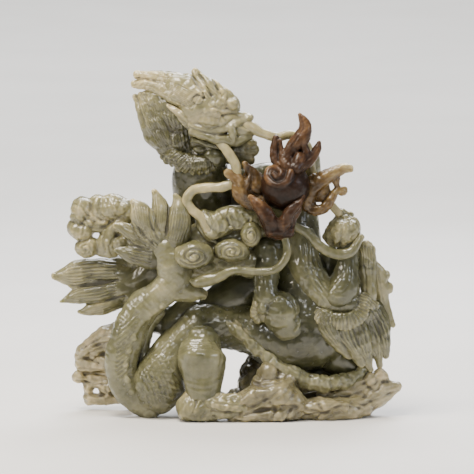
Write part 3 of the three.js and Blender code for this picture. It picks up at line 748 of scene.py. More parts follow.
    piece(
        "flank_plume_striated", ["flank_plume", "plume_stem"], PALE,
        core=[limb([(-14, 7, 92, 8), (-24, 7, 83, 8.5), (-36, 6.5, 71, 9), (-46, 6, 66.5, 7),
                (-56, 6, 64.5, 4.5), (-66, 6, 64, 2)], sides=24), blob((-56, 5.5, 64), (19, 4, 8.5)),
            blob((-68, 5, 67), (12, 3.5, 6)), blob((-42, 5.5, 64), (12, 6, 9)),
            limb([(-60, 7, 74, 3.4), (-48, 7, 75.6, 4.8), (-37, 7, 78, 5.6)], sides=18)] + [limb(s, sides=28,
                depth=0.7, lens=1.15) for s in plumes],
        voxel=0.42, polish=3, marks=marks,
        # Painted shade: darker towards the right, where the tail tuft shades it
        tone=lambda co: 0.19 + 0.0078 * (-30 - co[:, 0]) + 0.08 * waves(co, 12, 6),
    )


# ---------------------------------------------------------------- head
def make_head():
    flow = combed([(-44, 173), (-34, 171.5), (-24, 169), (-12, 163.5)], [(-45.5, 166), (-37, 166),
            (-28, 161.5), (-16, 155.5)], 11)
    piece(
        "head_carved", ["head", "brow_crest"], PALE,
        core=[
            blob((-10, -3, 156), (13.5, 10.5, 11)),
            limb([(-24, -1, 165, 7.5), (-17, -3, 163, 9.3), (-9.5, -4.5, 160, 9), (-3, -5.5, 157, 7.5)],
                sides=28), blob((-14, -6, 151), (7, 5, 7)),
            limb([(-8, -4, 155.5, 10), (0, -5, 156.5, 8.5), (3.5, -5.5, 156.5, 6)], sides=24),
            limb([(-1, -6.5, 149, 6.5), (6, -6.5, 149.5, 5.3), (10, -7, 149.5, 4.3)], sides=22),
            limb([(7, -7.5, 146, 4.5), (13, -7.5, 145.5, 3.8), (17, -8, 144.5, 2.5)], sides=18),
            blob((12, -8, 151), (2.8, 4, 2)),
            blob((-7, -9.5, 150), (6.5, 4.6, 4.3), turn=-0.15), blob((-13, -9.8, 160.2), (1.8, 1.9, 1.4),
                turn=-0.3),
            limb([(-20.5, -7, 161.5, 1.8), (-16, -9.5, 164.5, 2.3), (-10.5, -11, 163.5, 2.5),
                    (-6, -11, 160.5, 2.3)], sides=14),
            limb([(-19, -8, 157, 1.5), (-13.5, -10, 157, 1.6), (-8.5, -11, 158, 1.5)], sides=12),
            blob((4, -9.5, 158), (3.5, 3.6, 3.3)), blob((-1, -9, 161.5), (3, 3.6, 2.5)),
            blob((-3, -11, 156.5), (2.8, 2.4, 2.3)), blob((-6, -8, 165.5), (3, 3.4, 2.5)),
            *limbs(14, [(-17, -8.5, 147.5, 1.8), (-9.5, -10.5, 145.5, 2), (-1, -11, 145.5, 2.1),
                    (6, -11, 148.5, 2.1), (11, -9.5, 150, 1.7)], [(-16, -8, 144.5, 2.5), (-9, -9.5, 142.5, 3),
                    (-1, -10, 140.5, 3.2), (6, -9.5, 139.5, 3), (12.5, -8, 142, 2.2)],
                [(3.5, -11.5, 146.5, 2.5), (4.5, -12.5, 142.5, 2.1), (5, -12, 139.5, 1.2)]),
            limb([(-5.5, -10, 160.5, 4), (-8, -9.5, 165.5, 4.5), (-11.5, -7.5, 170.5, 3.3),
                    (-14.5, -5.5, 174, 2)], sides=18, depth=0.7),
            limb([(-1.5, -9, 161.5, 4), (-4.5, -8, 166.5, 3.2), (-8.5, -6, 170, 2)], sides=16, depth=0.7),
            limb([(3.5, -8, 158.5, 4), (0.5, -7.5, 163.5, 3), (-3, -6, 166.5, 1.7)], sides=14, depth=0.7),
        ],
        voxel=0.34, polish=8,
        marks=[
            cut([(-16, 160.5), (-14.5, 158.5), (-11.5, 158.5), (-10, 161)], [(-16, 161.5), (-13, 163),
                    (-10, 161.5)], width=0.4, depth=0.35),
            cut([(-18, 149.5), (-10, 148), (-2, 147.5), (4, 150.5)], [(-13.5, 152.5), (-8, 155),
                    (-1.5, 153.5), (1.5, 149.5)], width=0.7, depth=0.25),
            cut([(-17, 146.5), (-9, 144), (0, 143), (2.5, 144)], [(7, 156), (4.5, 154.5), (1.5, 156)],
                [(-1, 152.5), (4, 153.5), (8.5, 152)], width=0.6, depth=0.35),
            hair([(-14, 172.5), (-10.5, 166), (-7, 161.5)], [(-12, 172.5), (-8, 168), (-2, 163.5)], 4, 0.4,
                0.25),
            knobs([(-6, 158.5), (-2.5, 158.5), (0.5, 160), (-5, 155), (2, 154.5), (-1.5, 164.5), (5.5, 160)],
                1.8, 0.5),
            cut(*flow[1:], width=0.45, depth=0.45),
            cut([(-17.5, 161), (-14.5, 164), (-9.5, 164.5), (-5.5, 161.5), (-4, 158.5)],
                [(-9.5, 154.5), (-5, 156), (0, 154.5)], [(6, 147.5), (11, 145.5), (15, 144.5)], width=0.7,
                depth=-0.45), cut([(-17.5, 173), (-14, 169), (-10.5, 164), (-10, 161.5)],
                [(-12.5, 173), (-9, 168), (-6, 163)], [(-5, 170), (-3, 166), (-1, 162.5)], width=0.8,
                depth=1.1), lumps(10, 0.3, 20),
        ],
        # Painted shade: darker towards the bottom, over the cheek and jaw; the dark spot is the eye
        tone=lambda co: 0.76 + 0.08 * waves(co, 12, 4) - 0.022 * np.clip(150 - co[:, 2], 0, 30)
        - 0.35 * np.exp(-(((co[:, 0] + 12) / 2.4) ** 2 + ((co[:, 2] - 157.4) / 2) ** 2)),
    )
    horns = [
        ("upper_horn_swept", "upper_horn", [
            limb([(-9, -4, 161.5, 8), (-16, -2, 164.5, 7.5), (-23, 0, 166.5, 6.3), (-30, 1.5, 169, 4.8),
                    (-37, 3, 170, 3.3), (-43.5, 4, 171, 2.4)], sides=28),
        ]),
        ("lower_horn_swept", "lower_horn", [
            limb([(-13, -6, 158, 5), (-19.5, -4.5, 160.5, 5.8), (-26, -2, 163, 5.5), (-32, 0.5, 165.5, 4.5),
                    (-38.5, 2.5, 167, 3.3), (-45, 4, 166.5, 2.1)], sides=28),
        ]),
    ]
    parted = [[(-44.5, 169.5), (-36, 169), (-26, 165.5), (-16, 159)], [(-29, 172), (-25, 168), (-17, 161.5)]]
    for name, node, shapes in horns:
        piece(name, [node], PALE, core=shapes, voxel=0.36, polish=3,
              marks=[cut(*flow, width=0.45, depth=0.42), cut(*parted, width=0.6, depth=0.6),
                  lumps(8, 0.3, 36)],
              tone=lambda co: 0.74 + 0.003 * (-20 - co[:, 0]) + 0.1 * waves(co, 9, 5))
    locks = [
        [(-30.5, 1, 133, 2.5), (-36, 2, 139.5, 3.5), (-39, 2.5, 146.5, 3.3), (-41.5, 3.5, 154.5, 2.8),
            (-44.5, 4.5, 160.5, 1.5)],
        [(-28, -1, 134, 3), (-33, -0.5, 142, 4), (-36.5, 0.5, 150, 4), (-39.5, 2.5, 157.5, 3),
            (-42, 3.5, 161.5, 1.5)],
        [(-25, -2.5, 137, 3), (-29, -2, 144, 4), (-32.5, -1, 151.5, 3.8), (-36, 1.5, 158, 3),
            (-38.5, 3, 162, 1.8)],
        [(-22, -4, 142.5, 2.5), (-25, -4, 148.5, 3.5), (-28.5, -2.5, 154.5, 3.3), (-32.5, 0, 159, 2.5),
            (-35, 2, 162, 1.5)],
        [(-33, 2.5, 138.5, 3), (-37, 3, 144, 2.8), (-40, 3.5, 150, 2), (-41, 4, 153.5, 1)],
        [(-32, 2.5, 135, 3), (-36, 3, 139, 2.8), (-38.5, 3.5, 143, 2), (-40, 4, 146, 1)],
        [(-29, 2, 131.5, 2.5), (-32, 3, 134, 2.3), (-34.5, 3.5, 136.5, 1.8), (-36.5, 4, 139.5, 1)],
    ]
    locks.append([(-42, 3.5, 160.5, 2), (-37, 2, 160, 4.5), (-31.5, 0.5, 157.5, 6), (-26, -1.5, 153.5, 6.5),
            (-22, -4, 147.5, 5.5)])
    strands = combed([(-44.5, 162), (-42, 155.5), (-39.5, 147.5), (-31.5, 135)], [(-33, 161), (-29, 155.5),
            (-24.5, 149), (-21, 140)], 13)
    piece(
        "mane_striated", ["mane"], PALE,
        core=[limb(s, sides=24, depth=0.8) for s in locks] + [limb([(-13, 1, 150, 7), (-19, 2.5, 143, 8),
                (-17, 2, 134, 7)]), limb([(-22, 3, 148, 6), (-31, 4, 150, 5)], sides=16),
            blob((-29, 1, 145), (8, 6, 12), turn=-0.5), blob((-22, -1, 139), (6, 6, 8))],
        voxel=0.38, polish=3, marks=[
            cut(*strands, width=0.42, depth=0.36), hair([(-28.5, 153.5), (-27.5, 144.5), (-25.5, 134.5)],
                [(-18, 149), (-17.5, 140.5), (-16, 134.5)], 6, 0.7, 0.4), lumps(10, 0.4, 37),
        ],
        # Painted shade: darker towards the right, in the shaded hollow behind the cheek. The mane is also
        # darker towards the bottom.
        tone=lambda co: 0.08 + 0.018 * np.clip(-20 - co[:, 0], -6, 24) + 0.01 * (co[:, 2] - 148)
        + 0.07 * waves(co, 9, 8),
    )
    piece(
        "ear_and_lower_jaw", ["lower_jaw"], PALE,
        core=[
            limb([(-15.5, -7, 140, 1.3), (-9, -9, 138, 1.5), (-2.5, -9.5, 136.5, 1.5)], sides=14),
            limb([(-13, 0, 139, 7), (-4, -2, 136.5, 6.5), (4, -3.5, 138, 4.6), (10, -4.5, 141, 3)]),
            limb([(-17, -8, 148, 1.5), (-20, -8, 151.5, 2.3), (-24, -6.5, 154.5, 2.2), (-28, -5, 157, 1.2)],
                sides=18, width=0.85),
            limb([(-16.5, -7.5, 145, 1.3), (-20, -7, 148.5, 1.5), (-24, -6, 152, 1.3)], sides=14),
            blob((-12, -6.5, 135), (3.5, 2.6, 2)), limb([(-7, -4.5, 131.5, 1.8), (-2.5, -5.5, 128, 1.6),
                    (0.5, -4.5, 125, 1.3)], sides=12),
        ],
        voxel=0.36, marks=[lumps(6, 0.2, 22), cut([(-18, 150.5), (-22, 154), (-27, 157)], width=0.45,
                depth=0.4)],
        # Painted shade: darker towards the bottom, in the shade under the jaw
        tone=lambda co: 0.12 + 0.026 * (co[:, 2] - 138)
        - 0.02 * np.clip(co[:, 0] + 8, -20, 0) * (co[:, 2] > 146) + 0.06 * waves(co, 9, 4),
    )
    scallops = [(-30, 0, 130.5), (-28.5, -2, 128.5), (-25.5, -4, 127.5), (-22.5, -5.5, 125.5), (-19, -7, 125),
        (-15.5, -7.5, 124), (-12, -8, 124), (-8.5, -8, 124.5), (-5.5, -7.5, 126)]
    piece(
        "jaw_ruff_scalloped", ["jaw_ruff"], PALE,
        core=[
            limb([(-27, 0, 133, 3.5), (-24, -3.5, 130.5, 4.5), (-18, -5.5, 128, 4.8), (-11, -6.5, 127.5, 4.5),
                    (-5, -5, 129.5, 4)]),
            limb([(-28, 0.5, 141.5, 3.5), (-26, -1, 136, 3.5), (-23, -3, 132, 3.5)], sides=16),
            *[blob(c, (2.2, 1.6, 2.2), sides=14) for c in scallops],
            limb([(-14, 1, 132, 6), (-6, -1, 131, 6.5), (3, -1, 133, 5)], sides=18),
            blob((8.5, -4, 133.5), (7.5, 3, 6.5), turn=-0.35), blob((13, -4, 138), (3.5, 2.4, 2.5)),
            blob((15, -4, 134), (3, 2.4, 3)), blob((12, -4, 129.5), (3.5, 2.4, 2.8)),
            blob((8, -4, 126.5), (3, 2.4, 2.3)), limb([(-1, -2, 133, 6), (5, -3, 133, 6)], sides=18),
        ],
        voxel=0.36, polish=3,
        marks=[
            cut(*rays(-9, 141, 11, 21, 198, 288, 19), width=0.4, depth=0.35),
            cut(*rays(0, 134, 7, 19, -42, 22, 5), width=0.9, depth=0.25), lumps(6, 0.3, 38),
        ],
        # Painted shade: the ruff is kept dark under the jaw, its lower scalloped rim paler; painted light:
        # the fin to the right is paler, as if lit through
        tone=lambda co: 0.04 + 0.34 * np.clip((127.5 - co[:, 2]) / 4, 0, 1) * (co[:, 0] < 0)
        + 0.07 * np.clip(co[:, 0] - 3, 0, 9) + 0.02 * np.clip(-22 - co[:, 0], 0, 9) + 0.06 * waves(co, 8, 9),
    )


# ---------------------------------------------------------------- clouds
def make_clouds():
    piece(
        "cloud_bank_billowed", ["cloud_bank"], CELADON,
        core=[
            limb([(-10.5, -12, 101.5, 4.5), (-4.5, -13, 98.5, 7.3), (3.5, -12.5, 101, 6.3),
                    (10.5, -12, 101, 6.5), (17.5, -11, 100, 5)], sides=28, depth=0.75),
            blob((-5.5, -13.5, 94), (4.5, 5, 3.5)), blob((-9, -9, 76), (7, 5, 4.5)),
            blob((-12.5, -6, 71), (8, 5, 5.5)),
            blob((2, -11, 101.5), (4.5, 5.5, 4.5)), blob((15, -10, 101), (4.5, 6, 5)),
            blob((5, -4, 89), (17, 8, 9)), blob((-11, -5, 89), (9, 8, 9)), blob((7, -7, 78), (15, 7, 7)),
            blob((3.5, -11.5, 100), (15, 5.5, 5.5)), blob((-6, -12, 97), (6, 5, 6)),
            blob((1, -6, 82), (16, 7, 9)), blob((13, -7, 78), (10, 7, 8)),
            limb([(-14, -11, 101.5, 1.1), (-11.5, -13, 95, 1.2), (-8, -14, 91, 1.3), (-2.5, -14, 88.5, 1)],
                sides=12),
        ],
        voxel=0.4, polish=8,
        marks=[
            cut([(-9.5, 94), (-6, 91.5), (-1.5, 92.5), (2, 95.5)], [(3, 97), (7, 96.5), (11.5, 97.5),
                    (13.5, 101)], width=0.6, depth=-0.45),
            cut([(2.5, 106), (1.5, 102), (3, 98)], [(11.5, 106), (13, 102.5), (12, 98.5)],
                [(-8, 104), (-6, 100.5), (-6.5, 96.5)], width=0.7, depth=0.5),
            cut([(-2.5, 105), (-0.5, 101.5), (-1, 97.5)], [(6, 106), (9.5, 103.5), (9.5, 99.5)], width=0.8,
                depth=0.25), hair([(-10, 103.5), (-7, 99.5), (-6, 94.5)], [(12, 104.5), (13.5, 101),
                    (13, 97.5)], 7, 0.7, -0.35), lumps(7, 0.3, 14), lumps(3.4, 0.06, 15),
        ],
        # Painted shade: darker towards the bottom behind the front billows, in the recess under them
        tone=lambda co: 0.62 + 0.1 * waves(co, 10, 14)
        - 0.05 * np.clip(97 - co[:, 2], 0, 9) * (co[:, 1] > -10),
    )
    scrolls = [
        ("left_scroll_cloud_turned", "left_scroll_cloud", (-15, -18, 83), (10, 6, 7), 0.06, 7.4, 1, 0.5),
        ("middle_scroll_cloud_turned", "middle_scroll_cloud", (4, -17, 85.2), (9, 6, 5.8), -0.12, 6.6, -1,
            0.36),
        ("right_scroll_cloud_turned", "right_scroll_cloud", (13.5, -15.5, 93.5), (5.4, 7, 6.6), 0.0, 4.4, 1,
            0.38),
    ]
    for name, node, centre, radii, turn, r, hand, level in scrolls:
        x, _, z = centre
        lobes = [
            blob((x + radii[0] * 0.62 * math.cos(a), centre[1] + 1.5, z + radii[2] * 0.62 * math.sin(a)),
                (radii[0] * 0.45, 4, radii[2] * 0.45), sides=14)
            for a in np.linspace(0.4, 6.0, 6)
        ]
        piece(
            name, [node], PALE, core=[blob(centre, radii, sides=24, turn=turn), *lobes], voxel=0.36, polish=3,
            marks=[
                cut(spiral(x, z + 0.3, r, 2.1, radii[2] / radii[0], 3.6, hand), width=0.62, depth=0.75),
                knobs([(x - 0.4, z - 0.8)], 1.8, 0.6), lumps(5, 0.15, 15),
            ],
            tone=mottled(level),
        )
    piece(
        "upper_left_cloud_pierced", ["upper_left_cloud"], PALE,
        core=[
            blob((-55.5, 1, 104.5), (9, 8, 7)), blob((-50.5, -1, 104), (4.5, 6.5, 5.5)),
            blob((-71, 2, 104), (6, 7, 6)), blob((-63.5, 2.5, 105), (5.5, 7, 6)),
            blob((-74, 2, 94), (5, 6.5, 4.8)), blob((-68, 2, 97), (5, 6, 3.5)),
            blob((-68.5, 1, 84.5), (6.5, 6.5, 5.5)), blob((-61, 1.5, 97.5), (5, 6, 3)),
            blob((-61.5, 1.5, 84), (4, 5, 4.5)),
            limb([(-51.5, -2, 98, 3), (-55.5, -3, 95, 2.7), (-57, -3, 90, 3), (-58, -2, 85.5, 4),
                    (-57, -1, 82.5, 3.5)], sides=18),
            blob((-62, 2, 101.5), (14, 6, 5.5)),
            limb([(-49, -2, 99, 4), (-53.5, -1.5, 96, 4), (-57.5, -1, 92, 4), (-59.5, -1, 86.5, 4.5)],
                sides=18), blob((-71, 1, 92.5), (6, 6.5, 5)), blob((-67.5, 1, 86.5), (5.5, 5.5, 3.5)),
            blob((-57.5, 0, 84.5), (6.5, 5, 5.5)), blob((-47.5, -1, 102), (4.5, 6, 5)),
            blob((-72.5, 2, 99.5), (4.5, 6.5, 4)), blob((-52.5, -2, 94), (4.5, 4.5, 2.5)),
            blob((-63.5, 1.5, 94.5), (5.5, 5, 3)), blob((-51, -3.5, 87), (5, 4, 4.6)),
        ],
        voxel=0.42, polish=8,
        marks=[
            cut([(-67.5, 96), (-63.5, 94.5), (-59, 96), (-55.5, 98.5)], [(-64, 111), (-66.5, 106.5),
                    (-65, 101.5), (-60.5, 98.5)], [(-76, 107), (-71, 105.5), (-67.5, 101)], width=0.8,
                depth=0.5),
            cut([(-56, 109.5), (-51, 107), (-49, 103), (-52.5, 100.5)], [(-78, 96.5), (-74, 98.5), (-70, 96),
                    (-71, 92)], spiral(-69.5, 84.5, 5, 1.4, 0.9, 2.2), width=0.7, depth=0.35),
            cut([(-59, 95), (-60.5, 89), (-60, 83)], [(-56, 89), (-57.5, 85), (-56, 81)], width=0.7,
                depth=0.45), lumps(8, 0.3, 16), lumps(3.6, 0.06, 17),
        ],
        tone=lambda co: 0.6 + 0.006 * (-60 - co[:, 0]) + 0.1 * waves(co, 12, 3),
    )
    piece(
        "lower_left_cloud_curl_pierced", ["lower_left_cloud_curl"], WEATHERED,
        core=[
            limb([(-47, 9, 39, 6), (-56, 12, 38, 6.5), (-63, 14, 35, 5.5), (-67, 14, 32, 4.5)]),
            blob((-70, 14, 29.5), (4.5, 6, 4.5)),
            limb([(-72, 14, 22.5, 4), (-66, 14, 23, 3.5), (-56, 13, 21.5, 3)], sides=16),
            blob((-70, 14, 24.5), (4.5, 5, 4)),
            *limbs(14, [(-55, 12, 33.5, 4), (-54, 12, 27, 4), (-53, 12, 20, 4.5)],
                [(-67, 12, 31, 3.5), (-60, 12, 32, 4), (-53, 12, 31, 4)]), blob((-71, 14, 27), (4, 5, 3)),
            blob((-60, 12, 25.5), (4.5, 5, 3.5)), blob((-67, 13.5, 27.5), (3, 4, 3)),
            limb([(-68, 12, 22.5, 3), (-62, 12, 23, 3.5), (-55, 12, 23, 4)], sides=14),
        ],
        voxel=0.42, polish=8,
        marks=[
            cut([(-53, 40.5), (-60, 39), (-66, 35), (-72, 32)], [(-55, 36), (-61, 34.5), (-67, 32)],
                [(-74, 26.5), (-69, 26.5), (-63.5, 24.5)], [(-56, 32), (-63, 32), (-69, 28.5)], width=0.7,
                depth=0.6),
            cut([(-74.5, 21), (-68, 21.5), (-60, 20)], width=0.7, depth=0.6), lumps(9, 0.5, 17),
            lumps(3.6, 0.08, 18),
        ],
        tone=lambda co: 0.72 + 0.14 * waves(co, 10, 12) + 0.008 * (-62 - co[:, 0]),
    )
    piece(
        "lower_left_cloud_foot_pierced", ["lower_left_cloud_foot"], WEATHERED,
        core=[
            blob((-73, 13.5, 16.5), (3.5, 5, 3.3)),
            limb([(-72, 14, 16.5, 3), (-64.5, 14.5, 16.5, 3.5), (-56, 13, 16.5, 4)], sides=16),
            limb([(-69, 14, 13.5, 2.8), (-68.5, 14, 8.5, 2.5), (-69, 14, 6, 2.5)], sides=14),
            *limbs(16, [(-69, 14, 5, 2.2), (-63, 14, 4.5, 2.3), (-56, 13, 6, 3), (-50, 12, 5.5, 3)],
                [(-58, 13, 13.5, 4), (-58, 13, 8.5, 3.5)]),
            blob((-72.5, 14, 16.5), (4, 5, 3)), blob((-59, 13, 11.5), (5, 5, 4.5)),
            blob((-63, 14, 13.5), (6.5, 4.5, 2.8)), blob((-59, 13, 10), (3, 4.5, 4)),
            blob((-68.5, 14, 10.5), (2.8, 4, 4)), limb([(-68, 13, 5.5, 3), (-61, 13, 5.5, 3)], sides=14),
            limb([(-52, 12, 20, 5), (-49, 11, 14, 6), (-46, 10, 8, 6)], sides=16),
        ],
        voxel=0.42, polish=8,
        marks=[
            cut([(-74, 15.5), (-68, 14.5), (-62, 13.5), (-56, 14.5)], [(-70, 8), (-64, 7.5), (-57, 9)],
                [(-70, 18.5), (-63, 18.5), (-56, 17)], [(-60, 13.5), (-59, 9.5), (-55, 7.5)], width=0.7,
                depth=0.6),
            lumps(9, 0.5, 18), lumps(3.6, 0.08, 19),
        ],
        tone=lambda co: 0.7 + 0.14 * waves(co, 10, 12) + 0.008 * (-62 - co[:, 0]),
    )


# ---------------------------------------------------------------- forelegs
def from_elbow(co):
    """How far out on the frill a point lies in the front view: about 1 at its rim."""
    return np.linalg.norm((co - [57, -12, 58.5]) * [0.085, 0, 0.115], axis=1)


def make_raised_foreleg():
    arm = [(37.5, -1.5, 89.5, 9), (39.5, -4.5, 80, 8.8), (44, -8.5, 68.5, 8.5), (52, -11.5, 61, 8)]
    fore = [(61.5, -8, 89.5, 6), (62, -9, 81.5, 5.5), (61.5, -10, 74.5, 6.3), (59.5, -11.5, 66.5, 8.5),
        (57, -12, 61.5, 8.5)]
    piece(
        "raised_upper_arm_scaled", ["raised_upper_arm"], CELADON,
        core=[limb(arm, sides=28), blob((53, 1, 74), (7, 5, 12))],
        voxel=0.45,
        marks=[
            hair([(39.5, 90), (40, 80), (43.5, 69.5), (51, 59.5)], [(46, 84), (48.5, 76), (53, 66.5),
                    (58, 63.5)], 4, 0.5, 0.3),
            cut([(40, 75), (44, 76), (49, 74)], [(40.5, 72), (44.5, 73), (50, 70)], width=0.5, depth=0.25),
            lumps(12, 0.4, 19),
        ],
        tone=mottled(0.5),
    )
    piece(
        "raised_forearm_smooth", ["raised_forearm"], CELADON, core=[limb(fore, sides=32)],
        voxel=0.45, marks=[cut([(60, 82.5), (60.5, 75.5), (57, 70.5), (53, 68.5)],
                [(63, 79.5), (63, 70.5), (59, 65), (54.5, 65)], width=0.5, depth=0.25),
            cut([(56, 62.5), (60.5, 62.5)], width=0.4, depth=-0.3), lumps(14, 0.4, 20)],
        tone=lambda co: 0.32 + 0.05 * waves(co, 14, 6) - 0.02 * np.clip(62 - co[:, 2], 0, 10),
    )
    piece(
        "raised_fist_clawed", ["raised_fist"], PALE,
        core=[
            blob((60, -8, 94), (8.5, 9.5, 8)), blob((64, -9.5, 95), (4.5, 7, 6)),
            blob((55, -7, 91.5), (5.5, 6, 5.5)), blob((51.5, -6, 91), (2.5, 4, 2.5)),
            *limbs(16, [(57, -10, 99, 2.3), (56.5, -13.5, 95, 2.3), (56.5, -13.5, 90, 2.1),
                    (56.5, -12, 87, 1.5)], [(60.5, -10, 100, 2.4), (60.5, -14.5, 96.5, 2.4),
                    (60, -14.5, 91.5, 2.2), (59.5, -12.5, 87.5, 1.5)],
                [(64.5, -10, 99.5, 2.5), (65, -13, 95.5, 2.5), (64, -13, 91, 2.2), (63, -11, 88, 1.5)],
                [(53, -9, 95.5, 2), (52.5, -11, 92.5, 2), (53, -10, 88, 1.5)]),
            blob((59, -6, 103), (2.8, 2.8, 2.3)), blob((62.5, -5.5, 101.5), (2.5, 2.6, 2.3)),
            limb([(58, -7, 99.5, 3.5), (59, -6, 103, 2)], sides=14),
        ],
        voxel=0.36, polish=10,
        marks=[
            cut([(55, 97.5), (54.5, 92.5), (55, 87.5)], [(58.5, 98.5), (58.5, 93.5), (58, 87.5)],
                [(62.5, 99), (62.5, 94), (61.5, 88.5)], width=0.6, depth=0.3),
            cut([(58, 101), (61.5, 100.5), (65.5, 100.5)], [(63, 87), (66, 90), (67.5, 94.5)], width=0.5,
                depth=0.3), lumps(6, 0.3, 23), lumps(3, 0.1, 24),
        ],
        tone=lambda co: 0.56 + 0.012 * (co[:, 2] - 93) + 0.12 * waves(co, 8, 6),
    )
    frill = [(44.5, -12, 60.5, 2), (46, -16, 54.5, 3.3), (50.5, -18.5, 51.5, 3.5), (56.5, -19.5, 50, 3.8),
        (63, -19, 50, 3.8), (67.5, -17, 52.5, 3.5), (69.5, -13.5, 57.5, 3.3), (71, -10, 61.5, 2.5)]
    wave = bands(frill, 1.75, 0.34, 1.4)
    piece(
        "elbow_ruff_fluted", ["elbow_ruff"], PALE,
        core=[
            blob((57, -11, 58), (12, 7.5, 7.5)), limb(frill, sides=30, depth=0.55, width=1.15),
            limb([(68, -9, 59, 4.5), (73, -8, 56.5, 3.8), (76.5, -7, 56, 2)], sides=18),
            *[blob(c, (2.4, 1.9, 2), sides=12) for c in ((48, -18, 50), (55, -19, 48), (63.5, -18.5, 48),
                    (69.5, -15, 52))],
        ],
        voxel=0.36,
        marks=[lambda co, no: wave(co, no) * (from_elbow(co) > 0.78), lumps(9, 0.3, 24)],
        # Painted light: paler towards the frill's rim, as where light shines through its thin edge
        tone=lambda co: 0.24 + 0.26 * np.clip((from_elbow(co) - 0.85) * 4, 0, 1) + 0.06 * waves(co, 8, 7),
    )
    feathers = [
        [(50, -16, 53, 5), (52.5, -18, 46.5, 5.3), (57.5, -15.5, 38, 4), (63, -12, 31, 1.9)],
        [(57, -14, 51, 6), (60.5, -14, 41.5, 5.8), (65, -12, 34, 4.3), (69, -10, 26.5, 1.8)],
        [(65, -10.5, 49.5, 6), (68, -10.5, 39.5, 5.8), (71, -9.5, 31.5, 4), (73.5, -8.5, 24, 1.8)],
        [(72, -5, 50.5, 6), (75, -5.5, 40, 4.5), (76.5, -6, 32, 3), (78, -5.5, 25, 1.5)],
        [(75, -4, 52, 5.5), (78.5, -4.5, 43, 4.3), (80.5, -4.5, 36, 3.3), (81.5, -4, 30, 1.7)],
        [(75.5, -3, 54, 5), (79, -3, 47.5, 4), (81, -3, 42, 2.8), (82, -2.5, 39, 1.5)],
    ]

    def edge(feather, side):
        """One edge of a feather in the front view, inside its outline."""
        return [(x + side * off, z) for (x, _, z, _), off in zip(feather, (3.5, 3.5, 2, 0.5))]

    piece(
        "elbow_plume_feathered", ["elbow_plume"], PALE,
        core=[limb(s, sides=26, depth=0.75, lens=1.1) for s in feathers]
        + [*limbs(20, [(51, -13, 52.5, 5), (61, -10, 50, 7), (73, -5, 52.5, 6)],
                [(63, -8, 48, 8), (69, -6, 37.5, 7), (74, -5, 32.5, 4.5)])],
        voxel=0.38, polish=3,
        marks=[
            *[hair(edge(s, -1), edge(s, 1), 4, 0.42, 0.36) for s in feathers],
            lumps(10, 0.3, 27),
        ],
        tone=lambda co: 0.28 + 0.012 * (50 - co[:, 2]) + 0.07 * waves(co, 9, 8),
    )
    piece(
        "side_leaf_fluted", ["side_leaf"], PALE,
        core=[
            limb([(70.5, -4.5, 84, 5), (71.5, -4, 76.5, 5.3), (72, -4.5, 69.5, 4.5), (72.5, -6, 63, 4),
                    (73.5, -6, 56.5, 3)]),
            *[blob(c, (1.7, 2.4, 3), sides=12) for c in ((67.5, -6, 85.5), (69.5, -6.5, 86.5),
                    (71.5, -6.5, 86.5), (73, -6, 85.5), (74.5, -5, 83.5))],
        ],
        voxel=0.38, polish=3,
        marks=[hair([(67.5, 87.5), (68, 82.5), (68.5, 76.5)], [(74.5, 85.5), (75, 80.5), (74.5, 75)], 6, 0.4,
                0.4), cut([(70, 76.5), (71, 69), (71, 61)], [(74, 77.5), (74.5, 69), (74, 60)], width=0.6,
                depth=0.4), lumps(8, 0.2, 25)],
        tone=lambda co: 0.5 + 0.02 * np.clip(co[:, 2] - 78, 0, 14) + 0.06 * waves(co, 8, 3),
    )
    piece(
        "side_streamer_knotted", ["side_streamer"], PALE,
        core=[
            limb([(75, -3, 77.5, 2), (77.5, -2, 72.5, 3.3), (78.5, -1, 64, 3.8), (80, 0, 56.5, 3.3),
                    (82, 0, 50.5, 2.5), (85, 0, 45, 1.5)], sides=18, depth=0.8),
            blob((81, 0, 70.5), (2.5, 2.4, 2.5)), blob((82.5, 0, 64), (2.8, 2.4, 3)),
            limb([(78, -0.5, 68, 2.5), (81, 0, 66.5, 2)], sides=12),
        ],
        voxel=0.36, marks=[cut([(77, 73.5), (78.5, 64.5), (80, 57), (84, 47.5)], width=0.5, depth=0.3),
            lumps(8, 0.2, 26)],
        tone=mottled(0.6, 0.08),
    )


